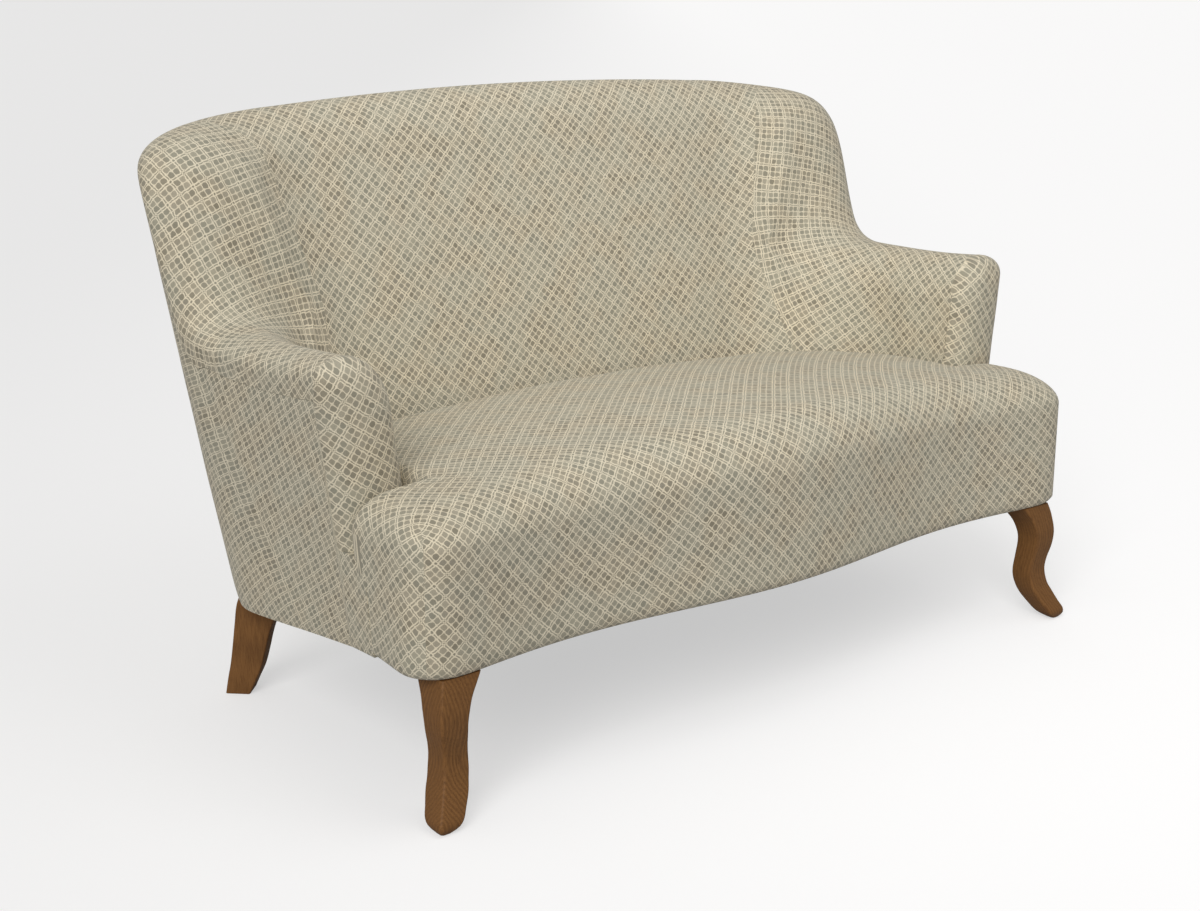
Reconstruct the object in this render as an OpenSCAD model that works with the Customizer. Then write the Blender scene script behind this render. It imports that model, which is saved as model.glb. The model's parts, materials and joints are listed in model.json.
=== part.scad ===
/* [Overall] */
// Height of the back at its middle
back_h = 869; // [820:1:920]
// Height of the arm tops
arm_h = 578; // [550:1:610]
// Height of the seat crown behind the nose
seat_h = 441; // [425:1:460]
// Width across the sides at the bottom edge
base_w = 1280; // [1150:1:1500]
// Distance from the mid line back to the outside of the back at its bottom edge
back_reach = 255; // [230:1:290]
// Distance from the mid line forward to the fullest point of the front
front_reach = 380; // [360:1:420]

/* [Body] */
// Clearance under the front edge
front_clear = 198; // [180:1:215]
// Slope of the bottom edge, which falls towards the back from the side seams
bottom_fall = 5; // [0:0.1:6]
// Outward lean of the sides
side_lean = 6.5; // [3:0.1:9]
// Backward lean of the outside of the back
back_lean = 10.8; // [6:0.1:14]
// Rake of the inside of the back
back_rake = 16.5; // [12:0.1:20]
// Outward lean of the inside of the arms
arm_lean = 7.5; // [4:0.1:10]
// Radius of the outside corners of the back, at the bottom edge
corner_r = 162; // [140:1:190]
// Radius of the inside corners of the back
inner_r = 200; // [170:1:220]
// Bow of the back between its middle and its corners
back_bow = 20; // [0:1:35]
// Narrowing of each side towards the front
side_taper = 13; // [0:1:25]

/* [Arms] */
// Distance from the mid line forward to the seam of the arm fronts
arm_reach = 171; // [140:1:190]
// Swell of the padded arm fronts ahead of that seam
facing_swell = 33; // [22:1:34]
// Rise of the arm tops towards the front
arm_rise = 8; // [0:1:20]
// Fall of the crest from the middle of the back to its corners
crest_fall = 13; // [0:1:30]
// Further fall of the crest round the corners
wing_fall = 38; // [20:1:60]
// Length in which the wing sweeps down to the arm
sweep_len = 18.5; // [15:0.5:30]
// Height of the roll on the outside of the arms
arm_roll_out = 30; // [20:1:40]
// Height of the roll on the inside of the arms
arm_roll_in = 72; // [50:1:80]
// Height of the roll on the outside of the back
back_roll_out = 45; // [30:1:60]
// Height of the roll on the inside of the back
back_roll_in = 60; // [45:1:75]

/* [Seat] */
// Width of the seat between the arms, at seat level
seat_w = 1090; // [1000:1:1300]
// Distance from the mid line back to the inside of the back, at seat level
seat_reach = 157; // [130:1:175]
// Height of the seat where it meets the arms
seat_side_h = 410; // [395:1:420]
// Depth of the rounded nose
nose_d = 78; // [60:1:95]
// Fall of the seat from its crown to its back edge
seat_back_fall = 30; // [10:1:40]
// Fall of the seat from its crown to the arms
seat_side_fall = 24; // [8:1:30]
// Distance from the mid line to the upright sides of the front
front_half = 645; // [600:1:700]
// Swell of the serpentine front, from its hollows to its middle
serpentine = 32; // [0:1:50]
// Length of one wave of the serpentine front
wave_len = 760; // [650:1:900]
// Radius of the front corners in plan
front_corner_r = 55; // [40:1:75]

/* [Padding] */
// Thickness of the padding over the outside of the frame
pad_out = 15; // [10:1:18]
// Thickness of the padding over the top of the frame
pad_top = 28; // [20:1:35]
// Room for the frame between the inside and outside padding
frame_room = 38; // [36:1:42]
// Thickness of the padding of the front border
border_t = 18; // [12:1:24]
// Thickness of an outside cover with its wadding
cover_t = 14; // [8:0.5:14.5]
// Height of the platform under the seat pad
deck_h = 332; // [320:1:345]
// Distance from the mid line forward to the side seams of the front border
seam_reach = 235; // [220:1:270]
// Clearance between neighbouring pieces
gap = 0.3; // [0.2:0.05:0.6]

/* [Legs] */
// Reach of a front toe past the outer face of the corner block above it
toe_x = 14.3; // [2:0.1:20]
// Reach of a front toe past the front face of that block
toe_y = 35.7; // [28:0.1:40]
// Width of a front leg at its top
leg_w = 61; // [52:1:70]
// Distance from the bottom edge of a side in to the foot of a rear leg
heel_x = 53; // [45:1:65]
// Distance from the bottom edge of the back in to that foot
heel_y = 41; // [33:1:53]
// Width of a rear leg at its top
rear_leg_w = 76; // [60:1:85]
// Thickness of a rear leg
rear_leg_t = 38; // [30:1:45]

/* [Hidden] */

fabric = "#a9a188";
oak = "#8a5a2e";

function lerp(a, b, t) = a + (b - a) * t;

// Plan curves of the shell, in which u runs from the middle of the back (0) to the start of a
// corner (1), round it (2), along the arm to the seam of the arm front (3) and on to the side seam (4)
base_z = front_clear;
hub_share = 0.62;
hub_x = seat_w / 2 - inner_r * hub_share;
hub_rise_share = 0.6;
hub_back = 8;
hub_top_y = seat_reach + hub_back;
function hub_y(z) = hub_top_y - max(0, arm_h - z) * hub_rise_share;
function bottom_z(y) = front_clear - tan(bottom_fall) * max(0, y + seam_reach);
function out_half(z) = base_w / 2 + tan(side_lean) * (z - base_z);
function out_back(z) = back_reach + tan(back_lean) * (z - base_z);
corner_growth_share = 0.06;
function out_r(z) = corner_r + (z - base_z) * corner_growth_share;
function in_half(z) = seat_w / 2 + tan(arm_lean) * (z - seat_side_h);
function in_back(z) = seat_reach + tan(back_rake) * (z - seat_side_h);
function base_of(u, z) = u <= 1 ? [hub_x * u, 0] : u <= 2 ? [hub_x, hub_y(z)]
    : u <= 3 ? [0, lerp(hub_y(z), -arm_reach, u - 2)] : [0, lerp(-arm_reach, -seam_reach, u - 3)];
function way_of(u) = u <= 1 ? [0, 1] : u <= 2 ? [cos(90 * (2 - u)), sin(90 * (2 - u))] : [1, 0];
// Distance from b along d to a rectangle with one rounded corner
function reach(b, d, half, back, r) =
    let (c = [half - r, back - r], o = b - c, m = o * d, s = m * m - o * o + r * r,
        t = s < 0 ? 0 : sqrt(s) - m, p = b + t * d, side = (half - b[0]) / d[0])
    s >= 0 && p[0] >= c[0] && p[1] >= c[1] ? t
        : d[0] > 0 && b[1] + side * d[1] <= c[1] ? side : (back - b[1]) / d[1];
function bow_at(u, half) = back_bow * pow(hub_x * min(u, 1) / half, 2);
function taper_at(y) = side_taper * max(0, hub_top_y - y) / (hub_top_y + arm_reach);
// Half width of the body, whose sides stand upright at the front corners
function side_x(z, y) = lerp(out_half(z) - taper_at(y), front_half,
    min(1, max(0, (-arm_reach - y) / (front_reach - front_corner_r - arm_reach))));
function outer_d(u, z, inset = 0) = let (b = base_of(u, z))
    reach(b, way_of(u), (u > 2 ? side_x(z, b[1]) : out_half(z)) - inset,
        out_back(z) - bow_at(u, out_half(z)) - inset, out_r(z) - inset);
function inner_d(u, z) = let (b = base_of(u, z))
    reach(b, way_of(u), in_half(z), in_back(z) - bow_at(u, in_half(z)), inner_r);
function shell_at(u, z, d) = let (p = base_of(abs(u), z) + way_of(abs(u)) * d) [sign_of(u) * p[0], p[1], z];
function sign_of(u) = u < 0 ? -1 : 1;

// Height of the top edge, as a smooth sweep from the crest down to the arm
sweep_lead = 5;
sweep_at = -sweep_lead;
function along(u) = u < 2 ? -(2 - u) * inner_r * PI / 2 : (u - 2) * (hub_top_y + arm_reach);
function sweep_share(u) = 1 / (1 + exp((along(u) - sweep_at) / sweep_len));
function crest_z(u) = back_h - crest_fall * pow(min(u, 1), 2) - wing_fall * pow(max(0, u - 1), 1.5);
function arm_z(u) = arm_h + arm_rise * pow(max(0, u - 2.5) * 2, 2);
function top_z(u) = lerp(arm_z(u), crest_z(min(u, 2)), sweep_share(u));
function steep(u) = let (s = sweep_share(u))
    sqrt(1 + pow((crest_z(min(u, 2)) - arm_z(u)) * s * (1 - s) / sweep_len, 2));
function roll_out(u) = lerp(arm_roll_out, back_roll_out, sweep_share(u)) * steep(u);
function roll_in(u) = lerp(arm_roll_in, back_roll_in, sweep_share(u)) * steep(u);

// One station of a wrap: inside wall, roll over the top, and down to the tacking line outside
wall_rows = 6;
roll_rows = 5;
tack_drop = 22;
pad_below = 48;
pad_foot = seat_side_h - pad_below;
function wrap_row(u, k) =
    k < wall_rows ? [180, lerp(pad_foot, top_z(u) - roll_in(u), k / wall_rows)]
    : k <= wall_rows + roll_rows ? let (a = 180 - 90 * (k - wall_rows) / roll_rows)
        [a, top_z(u) - roll_in(u) * (1 - sin(a))]
    : k <= wall_rows + 2 * roll_rows ? let (a = 90 - 90 * (k - wall_rows - roll_rows) / roll_rows)
        [a, top_z(u) - roll_out(u) * (1 - sin(a))]
    : [0, top_z(u) - roll_out(u) - tack_drop];
wrap_count = wall_rows + 2 * roll_rows + 2;
function wrap_skin(u, k) = let (v = abs(u), r = wrap_row(v, k), o = outer_d(v, r[1]), i = inner_d(v, r[1]))
    shell_at(u, r[1], (o + i) / 2 + (o - i) / 2 * cos(r[0]));
function wrap_lining(u, k) =
    let (v = abs(u), r = wrap_row(v, k), z = min(r[1], top_z(v) - pad_top * steep(v)))
    shell_at(u, z, outer_d(v, z, pad_out + frame_room * (1 - cos(r[0])) / 2));

// A closed thick sheet between two grids of points with the same rows
module slab(skin, lining) {
    n = len(skin);
    m = len(skin[0]);
    points = concat([for (r = skin) each r], [for (r = lining) each r]);
    q = n * m;
    faces = [
        for (i = [0:n - 2], j = [0:m - 2]) let (a = i * m + j, b = a + m) each
            [[a, b, b + 1], [a, b + 1, a + 1], [q + a, q + b + 1, q + b], [q + a, q + a + 1, q + b + 1]],
        for (j = [0:m - 2]) let (a = j, b = (n - 1) * m + j) each
            [[a, a + 1, q + a + 1], [a, q + a + 1, q + a], [b, q + b + 1, b + 1], [b, q + b, q + b + 1]],
        for (i = [0:n - 2]) let (a = i * m, b = a + m - 1) each
            [[a, q + a, q + a + m], [a, q + a + m, a + m], [b, q + b + m, q + b], [b, b + m, q + b + m]]];
    polyhedron(points, faces, convexity = 10);
}
module wrap(stations) slab([for (u = stations) [for (k = [wrap_count - 1:-1:0]) wrap_skin(u, k)]],
    [for (u = stations) [for (k = [wrap_count - 1:-1:0]) wrap_lining(u, k)]]);

middle_us = [0.25, 0.55, 0.85];
corner_us = [1.1, 1.2, 1.3, 1.4, 1.5];
arm_us = [1.62, 1.74, 1.82, 1.88, 1.92, 1.95, 1.98, 2.01, 2.04, 2.08, 2.13, 2.2, 2.32, 2.5, 2.75, 3];
seam_u = 0.002;
function both_ways(us) = concat([for (i = [len(us) - 1:-1:0]) -us[i]], [0], us);
back_stations = both_ways(concat(middle_us, [1], corner_us));
arm_stations = concat([1.5 + seam_u], arm_us);
module sided(side) mirror([side < 0 ? 1 : 0, 0, 0]) children();
module inside_back_pad() color(fabric) wrap(back_stations);
module arm_pad(side) color(fabric) sided(side) wrap(arm_stations);
module left_arm_pad() arm_pad(-1);
module right_arm_pad() arm_pad(1);

// A closed solid from rings of points, with ends that are strips between the two halves of a ring
module loft(rings) {
    n = len(rings);
    m = len(rings[0]);
    q = (n - 1) * m;
    half = floor(m / 2);
    faces = [
        for (i = [0:n - 2], j = [0:m - 1]) let (a = i * m + j, b = i * m + (j + 1) % m) each
            [[a, b, b + m], [a, b + m, a + m]],
        for (j = [0:half - 2]) let (k = m - 1 - j) each
            [[j, k, k - 1], [j, k - 1, j + 1], [q + j, q + k - 1, q + k], [q + j, q + j + 1, q + k - 1]],
        if (m % 2 == 1) each [[half - 1, half + 1, half], [q + half - 1, q + half, q + half + 1]]];
    polyhedron([for (r = rings) each r], faces, convexity = 10);
}

// Padded arm front: the arm's own outline, drawn in towards an upright line as it swells forward
facing_inset_shares = [0, 0.1, 0.28, 0.52, 0.8];
facing_swell_shares = [0, 0.45, 0.76, 0.94, 1];
facing_walls = 6;
facing_last = 2 * (facing_walls + roll_rows);
function facing_row(k) = let (j = min(k, facing_last - k), inside = k <= facing_last / 2,
    b = inside ? roll_in(3) : roll_out(3), a = j < facing_walls ? 0 : 90 * (j - facing_walls) / roll_rows)
    [inside ? 180 - a : a, j < facing_walls ? lerp(deck_h, top_z(3) - b, j / facing_walls)
        : top_z(3) - b * (1 - sin(a))];
facing_head_share = 0.8;
function facing_point(j, k) = let (r = facing_row(k), o = outer_d(3, r[1]), i = inner_d(3, r[1]),
    x = (o + i) / 2 + (o - i) / 2 * cos(r[0]), zs = min(r[1], top_z(3) - arm_roll_in * facing_head_share),
    xs = (outer_d(3, zs) + inner_d(3, zs)) / 2, f = facing_inset_shares[j])
    [lerp(x, xs, f), -arm_reach - gap - (facing_swell - gap) * facing_swell_shares[j], lerp(r[1], zs, f)];
module arm_facing(side) color(fabric) sided(side) loft([for (j = [0:len(facing_inset_shares) - 1])
    [for (k = [0:facing_last]) facing_point(j, k)]]);
module left_arm_facing() arm_facing(-1);
module right_arm_facing() arm_facing(1);

function cover_top(u) = u > 3 ? deck_h - gap : top_z(u) - roll_out(u) - tack_drop - gap;
cover_rows = 5;
function foot_z(u, z) = bottom_z(shell_at(u, z, outer_d(u, z))[1]);
function cover_skin(u, k, inset) = let (v = abs(u), foot = foot_z(v, foot_z(v, base_z)),
    z = lerp(foot, cover_top(v), k / cover_rows)) shell_at(u, z, outer_d(v, z, inset));
module outside_cover(stations) slab([for (u = stations) [for (k = [0:cover_rows]) cover_skin(u, k, 0)]],
    [for (u = stations) [for (k = [0:cover_rows]) cover_skin(u, k, cover_t)]]);
module outside_back_cover() color(fabric) outside_cover(both_ways(concat(middle_us, [1])));
outside_arm_stations = concat([1 + seam_u], corner_us, arm_us, [3 + seam_u, 3.5, 4 - seam_u]);
module outside_arm_cover(side) color(fabric) sided(side) outside_cover(outside_arm_stations);
module left_outside_arm_cover() outside_arm_cover(-1);
module right_outside_arm_cover() outside_arm_cover(1);

// Plan of the serpentine front and of the sides ahead of the arms
front_mid = front_reach - serpentine / 2;
function front_y(x) = -(front_mid + serpentine / 2 * cos(360 * x / wave_len));
// Quarter round from the side to the front, drawn in by s at the side and by f at the front
corner_steps = 5;
function nose_line(z, s, f, r, from, front_cuts) = let (x0 = side_x(z, -front_reach) - s,
    cx = x0 - r, cy = front_y(cx) + f + r) concat(
        [for (t = [0, 0.5]) let (y = lerp(from, cy, t)) [side_x(z, y) - s, y]],
        [for (k = [0:corner_steps]) let (a = 90 * k / corner_steps) [cx + r * cos(a), cy - r * sin(a)]],
        [for (k = [1:front_cuts]) let (x = cx * (1 - k / (front_cuts + 0.5))) [x, front_y(x) + f]]);
function mirrored(half) = concat(half, [for (i = [len(half) - 1:-1:0]) [-half[i][0], half[i][1]]]);

// Front border: a padded band that wraps from one side seam round the front to the other
border_top = deck_h - gap;
border_row_shares = [0, 0.06, 0.2, 0.6, 1];
border_tuck_shares = [1, 0.3, 0, 0, 0.1];
border_tuck = 10;
border_cuts = 9;
function border_line(z, inset) =
    mirrored(nose_line(z, inset, inset, front_corner_r - inset, -seam_reach, border_cuts));
function border_grid(inset, tucks) = [for (j = [len(border_row_shares) - 1:-1:0])
    let (z = lerp(front_clear, border_top, border_row_shares[j]))
    [for (p = border_line(z, inset + tucks * border_tuck * border_tuck_shares[j])) [p[0], p[1], z]]];
module front_border_pad() color(fabric) slab(border_grid(0, 1), border_grid(border_t, 0));

// Seat pad: a T in plan, crowned, with a rounded nose and edges drawn in against the back and the arms
nose_rise = 33;
nose_foot = deck_h + nose_rise;
shoulder_y = -arm_reach - facing_swell - gap;
shoulder_r = 12;
seat_tuck = 22;
shoulder_tuck = 14;
side_tuck = 46;
seat_us = [0.25, 0.55, 0.85, 1, 1.1, 1.2, 1.3, 1.4, 1.5, 1.62, 1.74, 1.88, 2.01, 2.13, 2.32, 2.5, 2.75, 3];
seat_cuts = 5;
crown_share = 1.6;
fall_share = 1.05;
function seat_top(x, y) = seat_h
    - seat_back_fall * pow(max(0, y + front_reach - crown_share * nose_d) / (front_reach * fall_share), 2)
    - seat_side_fall * pow(2 * x / seat_w, 2);
function seat_half(z, t) = let (s = side_x(z, shoulder_y) - side_tuck * t, y = shoulder_y - shoulder_tuck * t)
    concat(
    [for (u = seat_us) let (p = shell_at(u, z, inner_d(u, z) - 2 * gap - seat_tuck * t)) [p[0], p[1]]],
    [[in_half(z) - 2 * gap - seat_tuck * t, y]],
    [for (a = [80, 40, 0]) [s - shoulder_r + shoulder_r * cos(a), y - shoulder_r + shoulder_r * sin(a)]],
    nose_line(z, side_tuck * t, nose_d * t, front_corner_r, y - 2 * shoulder_r, seat_cuts));
function seat_ring(z, t, lift) = [for (p = mirrored(seat_half(z, t)))
    [p[0], p[1], lerp(z, seat_top(p[0], p[1]), lift)]];
seat_mid_y = -front_reach / 4;
function seat_inner(f) = [for (p = mirrored(seat_half(nose_foot, 1)))
    let (x = p[0] * f, y = lerp(seat_mid_y, p[1], f)) [x, y, seat_top(x, y)]];
module seat_pad() color(fabric) loft(concat([seat_ring(deck_h, 0, 0), seat_ring(nose_foot, 0, 0)],
    [for (a = [20, 40, 60, 78, 90]) seat_ring(nose_foot, 1 - cos(a), sin(a))],
    [seat_inner(0.7), seat_inner(0.3)]));

// Small play of the frame behind its covers, on flat faces and on rounds
ease = 1;
arc_ease = 2.5;

// Smooth curve that passes through all of its hand-set points
function smooth(p, i, t) = let (a = p[max(i - 1, 0)], b = p[i], c = p[i + 1], d = p[min(i + 2, len(p) - 1)])
    0.5 * (2 * b + (c - a) * t + (2 * a - 5 * b + 4 * c - d) * t * t + (3 * b - a - 3 * c + d) * t * t * t);
function curve(p, steps) = concat([for (i = [0:len(p) - 2], k = [0:steps - 1]) smooth(p, i, k / steps)],
    [p[len(p) - 1]]);

// Solids drawn from an outline across the sofa, from front to back or straight up
module across(points, x0, x1) translate([x0, 0, 0]) rotate([90, 0, 90]) linear_extrude(x1 - x0)
    polygon(points);
module lengthwise(points, y0, y1) translate([0, y1, 0]) rotate([90, 0, 0]) linear_extrude(y1 - y0)
    polygon(points);
module upright(points, z0, z1) translate([0, 0, z0]) linear_extrude(z1 - z0) polygon(points);

// Front corner blocks, which the front legs hang from
block_w = 58;
block_x1 = min(side_x(front_clear, -arm_reach) - cover_t, side_x(front_clear, -seam_reach) - border_t,
    front_half - border_t - 2 * arc_ease) - gap - ease;
block_x0 = block_x1 - block_w;
block_y0 = front_y(front_half - front_corner_r) + border_t + gap + 4 * arc_ease;
block_y1 = block_y0 + block_w;
leg_x = block_x1 + toe_x;
leg_y = block_y0 - toe_y;

// Cabriole legs: one bandsawn profile cut from two faces of a square blank
leg_h = front_clear - gap;
knee_shares = [[-0.28, 1], [-0.2, 0.91], [-0.13, 0.77], [-0.15, 0.65], [-0.235, 0.52], [-0.26, 0.42],
    [-0.2, 0.31], [-0.1, 0.235], [0.04, 0.14], [0.13, 0.085], [0.145, 0.04], [0.06, 0]];
calf_shares = [[-0.2, 0], [-0.42, 0.05], [-0.62, 0.14], [-0.78, 0.23], [-0.88, 0.33], [-0.905, 0.42],
    [-0.87, 0.55], [-0.84, 0.68], [-0.88, 0.77], [-1.0, 0.87], [-1.28, 1]];
leg_steps = 4;
function leg_outline() = [for (p = concat(curve(knee_shares, leg_steps), curve(calf_shares, leg_steps)))
    [p[0] * leg_w, p[1] * leg_h]];
module leg_face() rotate([90, 0, 0]) translate([0, 0, -leg_w * 2]) linear_extrude(leg_w * 4)
    polygon(leg_outline());
module front_leg() color(oak) difference() {
    translate([leg_x, leg_y, 0]) intersection() {
        leg_face();
        rotate([0, 0, -90]) leg_face();
    }
    front_bolt(gap);
}
module front_left_leg() sided(-1) front_leg();
module front_right_leg() sided(1) front_leg();

// Rear legs: sabre shaped, set across the corners and cut on top to the slope of the bottom edge
foot_x = base_w / 2 - heel_x;
foot_y = back_reach - heel_y;
rear_leg_h = bottom_z(foot_y - rear_leg_w);
rear_drop = (cover_t + gap) * tan(bottom_fall);
module below(z) across([[-seam_reach, bottom_z(-seam_reach) + z], [-seam_reach, -back_h], [base_w, -back_h],
    [base_w, bottom_z(base_w) + z]], 0, base_w);
heel_shares = [[-0.12, 1], [-0.04, 0.85], [0, 0.68], [0.06, 0.48], [0.12, 0.3], [0.19, 0.15], [0.25, 0]];
shin_shares = [[-0.24, 0], [-0.34, 0.1], [-0.48, 0.24], [-0.58, 0.4], [-0.67, 0.56], [-0.78, 0.7],
    [-0.93, 0.85], [-1.12, 1]];
function rear_outline() = [for (p = concat(curve(shin_shares, leg_steps), curve(heel_shares, leg_steps)))
    [p[0] * rear_leg_w, p[1] * rear_leg_h]];
module rear_leg() color(oak) difference() {
    intersection() {
        translate([foot_x, foot_y, 0]) rotate([90, 0, 45]) translate([0, 0, -rear_leg_t / 2])
            linear_extrude(rear_leg_t) polygon(rear_outline());
        below(-rear_drop - gap);
    }
    rear_bolt(gap);
}
module rear_left_leg() sided(-1) rear_leg();
module rear_right_leg() sided(1) rear_leg();

// Hardwood frame. Its outer faces lie one thickness of padding inside the covers
rail_t = 28;
board_t = 24;
under = 2;
deck_build = 14;
rail_top = deck_h - deck_build;
cover_in = cover_t + gap;
function sole(y) = bottom_z(y) + under;

// The blocks are sawn to the round of the front corners
module within_border(room) upright(border_line(front_clear, border_t + room), 0, rail_top);
module front_block() color(oak) difference() {
    intersection() {
        upright([[block_x0, block_y0], [block_x1, block_y0], [block_x1, block_y1], [block_x0, block_y1]],
            front_clear + under, rail_top);
        within_border(gap + ease);
    }
    front_bolt(gap);
    front_screws(gap);
}
module front_left_block() sided(-1) front_block();
module front_right_block() sided(1) front_block();

// Serpentine front rail
rail_cuts = 24;
rail_front = border_t + ease;
function rail_line(back) = [for (k = [0:rail_cuts]) let (x = lerp(1, -1, k / rail_cuts) * (block_x0 - gap))
    [x, front_y(x) + back]];
module front_rail() color(oak) difference() {
    upright(concat(rail_line(rail_front), [for (k = [rail_cuts:-1:0]) rail_line(rail_front + rail_t)[k]]),
        front_clear + under, rail_top);
    front_screws(gap);
    sided(-1) front_screws(gap);
}

// Rear corner blocks, sawn to the round of the corner, with mitred ends for the rails
rear_z = sole(foot_y);
rear_bow = bow_at(1, base_w / 2);
frame_in = max(pad_out, cover_t) + gap + ease;
rear_r = out_r(rear_z) - cover_in - arc_ease;
rear_c = [out_half(rear_z) - out_r(rear_z), out_back(rear_z) - rear_bow - out_r(rear_z)];
rear_block_h = 60;
rear_block_t = 36;
block_steps = 8;
block_end = 10;
function rear_arc(a) = rear_c + rear_r * [cos(a), sin(a)];
rear_low = rear_arc(block_end) - rear_block_t * [cos(45), sin(45)];
rear_high = rear_arc(90 - block_end) - rear_block_t * [cos(45), sin(45)];
module rear_plan() upright(concat([for (k = [0:block_steps]) rear_arc(lerp(block_end, 90 - block_end,
    k / block_steps))], [rear_high, rear_low]), 0, rear_z + rear_block_h);
module rear_block() color(oak) difference() {
    rear_plan();
    below(under - rear_drop);
    rear_bolt(gap);
}
module rear_left_block() sided(-1) rear_block();
module rear_right_block() sided(1) rear_block();

// The back frame lies in one leaning layer, whose outer face is back_face(z)
function back_face(z) = out_back(z) - rear_bow - frame_in;
module leaning(z0, z1, t, x0, x1) color(oak) across([[back_face(z0) - t, z0], [back_face(z0), z0],
    [back_face(z1), z1], [back_face(z1) - t, z1]], x0, x1);
mitre = 2 * gap;
rear_rail_z = sole(back_face(rear_z) - rail_t);
rail_end_share = 0.35;
module rear_rail() color(oak) difference() {
    intersection() {
        leaning(rear_rail_z, rail_top, rail_t, -base_w / 2, base_w / 2);
        upright([for (e = [[-1, -2, -2], [1, -2, -2], [1, rail_end_share, rail_end_share],
            [1, rail_end_share, 2], [-1, rail_end_share, 2], [-1, rail_end_share, rail_end_share]])
            [e[0] * (rear_high[0] - mitre + e[1] * rear_block_t), rear_high[1] + e[2] * rear_block_t]],
            rear_rail_z, rail_top);
    }
    dowels(gap / 2);
}
side_rail_x1 = side_x(rear_z, rear_low[1]) - cover_in - 2 * ease;
side_rail_y1 = rear_low[1] + rail_t;
module side_rail() color(oak) difference() {
    intersection() {
        across([[block_y1 + gap, front_clear + under], [-seam_reach, front_clear + under],
            [side_rail_y1, sole(side_rail_y1)], [side_rail_y1, rail_top], [block_y1 + gap, rail_top]],
            0, base_w / 2);
        upright([[block_x1 - rail_t, block_y1], [block_x1 - 2 * ease, block_y1],
            [side_rail_x1, rear_low[1] + side_rail_x1 - rear_low[0] - mitre],
            [side_rail_x1 - rail_t, rear_low[1] + side_rail_x1 - rail_t - rear_low[0] - mitre]], 0, rail_top);
    }
    dowels(gap / 2);
    front_screws(gap);
}
module left_side_rail() sided(-1) side_rail();
module right_side_rail() sided(1) side_rail();
stretcher_w = 45;
stretcher_h = 70;
stretcher_drop = 18;
stretcher_z = rail_top - stretcher_h - stretcher_drop;
stretcher_y0 = front_y(0) + rail_front + rail_t + ease;
module seat_stretcher() color(oak) across([[stretcher_y0, stretcher_z],
    [back_face(stretcher_z) - rail_t - gap, stretcher_z],
    [back_face(stretcher_z + stretcher_h) - rail_t - gap, stretcher_z + stretcher_h],
    [stretcher_y0, stretcher_z + stretcher_h]], -stretcher_w / 2, stretcher_w / 2);

// Posts and rails of the back
post_in = 20;
post_x = hub_x - post_in;
post_w = 44;
top_rail_h = 55;
top_rail_z = crest_z(1) - wing_fall / 2 - pad_top - top_rail_h;
module back_post(x) difference() {
    leaning(rail_top + gap, top_rail_z - gap, board_t, x - post_w / 2, x + post_w / 2);
    dowels(gap / 2);
}
module left_back_post() back_post(-post_x);
module right_back_post() back_post(post_x);
module centre_back_post() back_post(0);
tack_up = 5;
tack_z = pad_foot + tack_up;
tack_h = 38;
module back_tack_rail(side) sided(side)
    leaning(tack_z, tack_z + tack_h, board_t, post_w / 2 + gap, post_x - post_w / 2 - gap);
module left_back_tack_rail() back_tack_rail(-1);
module right_back_tack_rail() back_tack_rail(1);

// Wings: a rail sawn to the round of each corner, carried by a leaning stile
wing_drop = 16;
wing_z = top_rail_z - wing_drop;
wing_h = 30;
function corner_mid(z) = let (r = out_r(z))
    [out_half(z) - r, out_back(z) - bow_at(1, out_half(z)) - r];
wing_c = corner_mid(wing_z);
wing_r = out_r(wing_z) - frame_in - ease - arc_ease;
wing_end = 27;
module top_rail() difference() {
    leaning(top_rail_z, top_rail_z + top_rail_h, board_t, -wing_c[0] + gap, wing_c[0] - gap);
    dowels(gap / 2);
}
wing_steps = 8;
function wing_arc(k, r) = wing_c
    + r * [cos(lerp(wing_end, 90, k / wing_steps)), sin(lerp(wing_end, 90, k / wing_steps))];
wing_t = 20;
module wing_rail(side) color(oak) sided(side) upright(concat([for (k = [0:wing_steps]) wing_arc(k, wing_r)],
    [for (k = [wing_steps:-1:0]) wing_arc(k, wing_r - wing_t)]), wing_z, wing_z + wing_h);
module left_wing_rail() wing_rail(-1);
module right_wing_rail() wing_rail(1);
stile_w = 20;
stile_at = 35;
stile_z0 = rear_z + rear_block_h + gap;
function stile_mid(z) = corner_mid(z)
    + (out_r(z) - frame_in + ease + gap - frame_room / 2) * [cos(stile_at), sin(stile_at)];
module wing_stile(side) color(oak) sided(side) let (a = stile_mid(stile_z0), b = stile_mid(wing_z), d = b - a)
    intersection() {
        translate([a[0], a[1], stile_z0]) rotate([0, atan2(norm(d), wing_z - stile_z0), atan2(d[1], d[0])])
            translate([-stile_w / 2, -stile_w / 2, -stile_w]) cube([stile_w, stile_w, back_h]);
        translate([0, 0, stile_z0]) cube([base_w, base_w, wing_z - gap - stile_z0]);
    }
module left_wing_stile() wing_stile(-1);
module right_wing_stile() wing_stile(1);

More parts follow.
